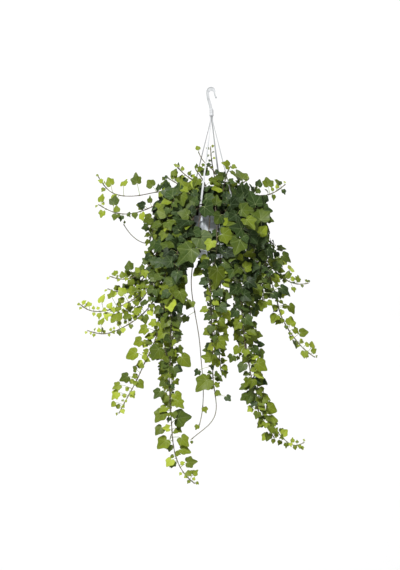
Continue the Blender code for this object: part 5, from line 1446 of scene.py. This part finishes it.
def build_fine_hanger(mat):
    """Hook with a channelled shank, ribbed hub, flange and clip-on strands."""
    bm = bmesh.new()
    line, thick = hook_line(HOOK_BEND_STEPS)
    across = Vector((0, 1, 0))
    add_bar(bm, line, across, [bar_section(HOOK_DEPTH * WEB, one - 2 * EDGE) for one in thick])
    bmesh.ops.create_uvsphere(bm, u_segments=24, v_segments=14, radius=TIP_BEAD,
                              matrix=Matrix.Translation(line[0]))
    for edge in (-1, 1):
        rail = []
        for i, point in enumerate(line):
            along = line[min(i + 1, len(line) - 1)] - line[max(i - 1, 0)]
            rail.append(point + across.cross(along).normalized() * edge * (thick[i] / 2 - RAIL / 2))
        add_bar(bm, rail, across, [bar_section(HOOK_DEPTH, RAIL)] * len(rail))
    for place in HOOK_STEPS:
        along = line[place + 1] - line[place - 1]
        out = across.cross(along).normalized()
        step = [line[place] + out * (thick[place] / 2 * k) for k in (-1, 0, 1)]
        add_bar(bm, step, across, [bar_section(HOOK_DEPTH, RAIL)] * len(step))
    top = -HOOK_INNER_RADIUS - HOOK_SHANK
    bottom = top - HUB_HEIGHT
    rings = [(0, bottom), (FLANGE_RADIUS, bottom), (FLANGE_RADIUS, bottom + FLANGE_THICKNESS),
             (HUB_RADIUS, bottom + FLANGE_THICKNESS)]
    for k in range(HUB_RINGS):
        low = bottom + FLANGE_THICKNESS + (HUB_RING_FROM + HUB_RING_EVERY * k) * HUB_HEIGHT
        rings += [(HUB_RADIUS, low), (HUB_RADIUS - EDGE, low + EDGE), (HUB_RADIUS - EDGE, low + 2 * EDGE),
                  (HUB_RADIUS, low + 3 * EDGE)]
    rings += [(HUB_RADIUS, top - HUB_HEIGHT / 6), (HUB_RADIUS * 0.6, top), (0, top)]
    turned_mesh(bm, rounded_profile(rings, EDGE / 2, 2), HUB_SIDES)
    for angle in STRAND_ANGLES:
        turn = math.radians(angle)
        corners = strand_line(turn)
        strand = rounded_line(corners, STRAND_BEND, STRAND_BEND_STEPS)
        clip_from = corners[2].z + CLIP_ABOVE_RIM
        sections = []
        for i, point in enumerate(strand):
            near_pot = point.z < clip_from
            sections.append(bar_section(CLIP_WIDTH if near_pot else STRAND_WIDTH, STRAND_THICKNESS))
        add_bar(bm, strand, Vector((math.cos(turn), math.sin(turn), 0)), sections)
    add_piece("hanger_moulding", bm, mat, "hanger")


def build_fine_soil(mat):
    """Loose soil: an uneven top with crumbs on it."""
    rng = random.Random(SEED)
    bottom = POT_FLOOR_Z + GAP
    low = inner_radius(bottom) - 3 * GAP
    high = inner_radius(SOIL_Z) - 3 * GAP
    bm = bmesh.new()
    profile = [(0, bottom), (low, bottom)]
    for k in range(SOIL_RINGS):
        radius = high * (1 - k / SOIL_RINGS)
        profile.append((radius, soil_height(radius)))
    profile.append((0, soil_height(0.0)))
    turned_mesh(bm, profile, POT_SIDES)
    for vert in bm.verts:
        radius = math.hypot(vert.co.x, vert.co.y)
        if vert.co.z > SOIL_Z - 0.001 and radius < high * 0.985:
            spot = Vector((vert.co.x, vert.co.y, 0))
            vert.co.z += (noise.noise(spot * 160) * 0.9 + noise.noise(spot * 420) * 0.5) * SOIL_RELIEF
    for _ in range(CRUMBS):
        radius = high * 0.95 * math.sqrt(rng.random())
        turn = rng.uniform(0, 2 * math.pi)
        size = rng.uniform(*CRUMB_SIZES)
        place = Vector((radius * math.cos(turn), radius * math.sin(turn), soil_height(radius) + size * 0.15))
        made = bmesh.ops.create_icosphere(bm, subdivisions=1, radius=size, matrix=Matrix.Translation(place))
        for vert in made["verts"]:
            vert.co += (vert.co - place) * rng.uniform(-CRUMB_ROUGHNESS, CRUMB_ROUGHNESS)
    add_piece("potting_soil_top", bm, mat, "potting_soil")


# ---- studio ----
def build_studio():
    """A pale floor that curves up into a wall."""
    bm = bmesh.new()
    profile = [(STUDIO_FRONT_Y, FLOOR_Z)]
    for step in range(COVE_STEPS + 1):
        turn = math.pi / 2 * step / COVE_STEPS
        profile.append((WALL_Y - COVE_RADIUS + COVE_RADIUS * math.sin(turn),
                        FLOOR_Z + COVE_RADIUS - COVE_RADIUS * math.cos(turn)))
    profile.append((WALL_Y, FLOOR_Z + WALL_HEIGHT))
    rows = [[bm.verts.new((x, y, z)) for y, z in profile] for x in (-STUDIO_HALF_WIDTH, STUDIO_HALF_WIDTH)]
    for k in range(len(profile) - 1):
        bm.faces.new((rows[0][k], rows[1][k], rows[1][k + 1], rows[0][k + 1]))
    mesh = bpy.data.meshes.new("studio_cove")
    bm.to_mesh(mesh)
    bm.free()
    mesh.shade_smooth()
    mesh.materials.append(studio_material())
    cove = bpy.data.objects.new("studio_cove", mesh)
    bpy.context.collection.objects.link(cove)


def area_light(name, place, aim, size, power):
    light = bpy.data.lights.new(name, "AREA")
    light.shape = "DISK"
    light.size = size
    light.energy = power
    obj = bpy.data.objects.new(name, light)
    obj.location = place
    obj.rotation_euler = (Vector(aim) - Vector(place)).to_track_quat("-Z", "Y").to_euler()
    bpy.context.collection.objects.link(obj)


def build_camera():
    data = bpy.data.cameras.new("camera")
    data.sensor_fit = "VERTICAL"
    data.sensor_height = SENSOR
    data.lens = SENSOR * CAMERA_DISTANCE / VIEW_HEIGHT
    data.clip_end = 60
    camera = bpy.data.objects.new("camera", data)
    camera.location = (VIEW_CENTRE[0], -CAMERA_DISTANCE, VIEW_CENTRE[1])
    camera.rotation_euler = (math.pi / 2, 0, 0)
    bpy.context.collection.objects.link(camera)
    bpy.context.scene.camera = camera


def build_world():
    world = bpy.data.worlds.new("studio")
    world.use_nodes = True
    background = world.node_tree.nodes["Background"]
    background.inputs["Color"].default_value = (1, 1, 1, 1)
    background.inputs["Strength"].default_value = WORLD_STRENGTH
    bpy.context.scene.world = world
    bpy.context.scene.view_settings.view_transform = "Standard"


def main():
    build_camera()
    build_world()
    build_studio()
    for light in LIGHTS:
        area_light(*light)
    build_foliage([leaf_material(), under_material(), stem_material(), petiole_material()])
    build_fine_hanger(moulded_plastic("hanger_white", *HANGER_PLASTIC))
    build_fine_pot(moulded_plastic("pot_grey", *POT_PLASTIC))
    build_fine_soil(soil_material())


main()
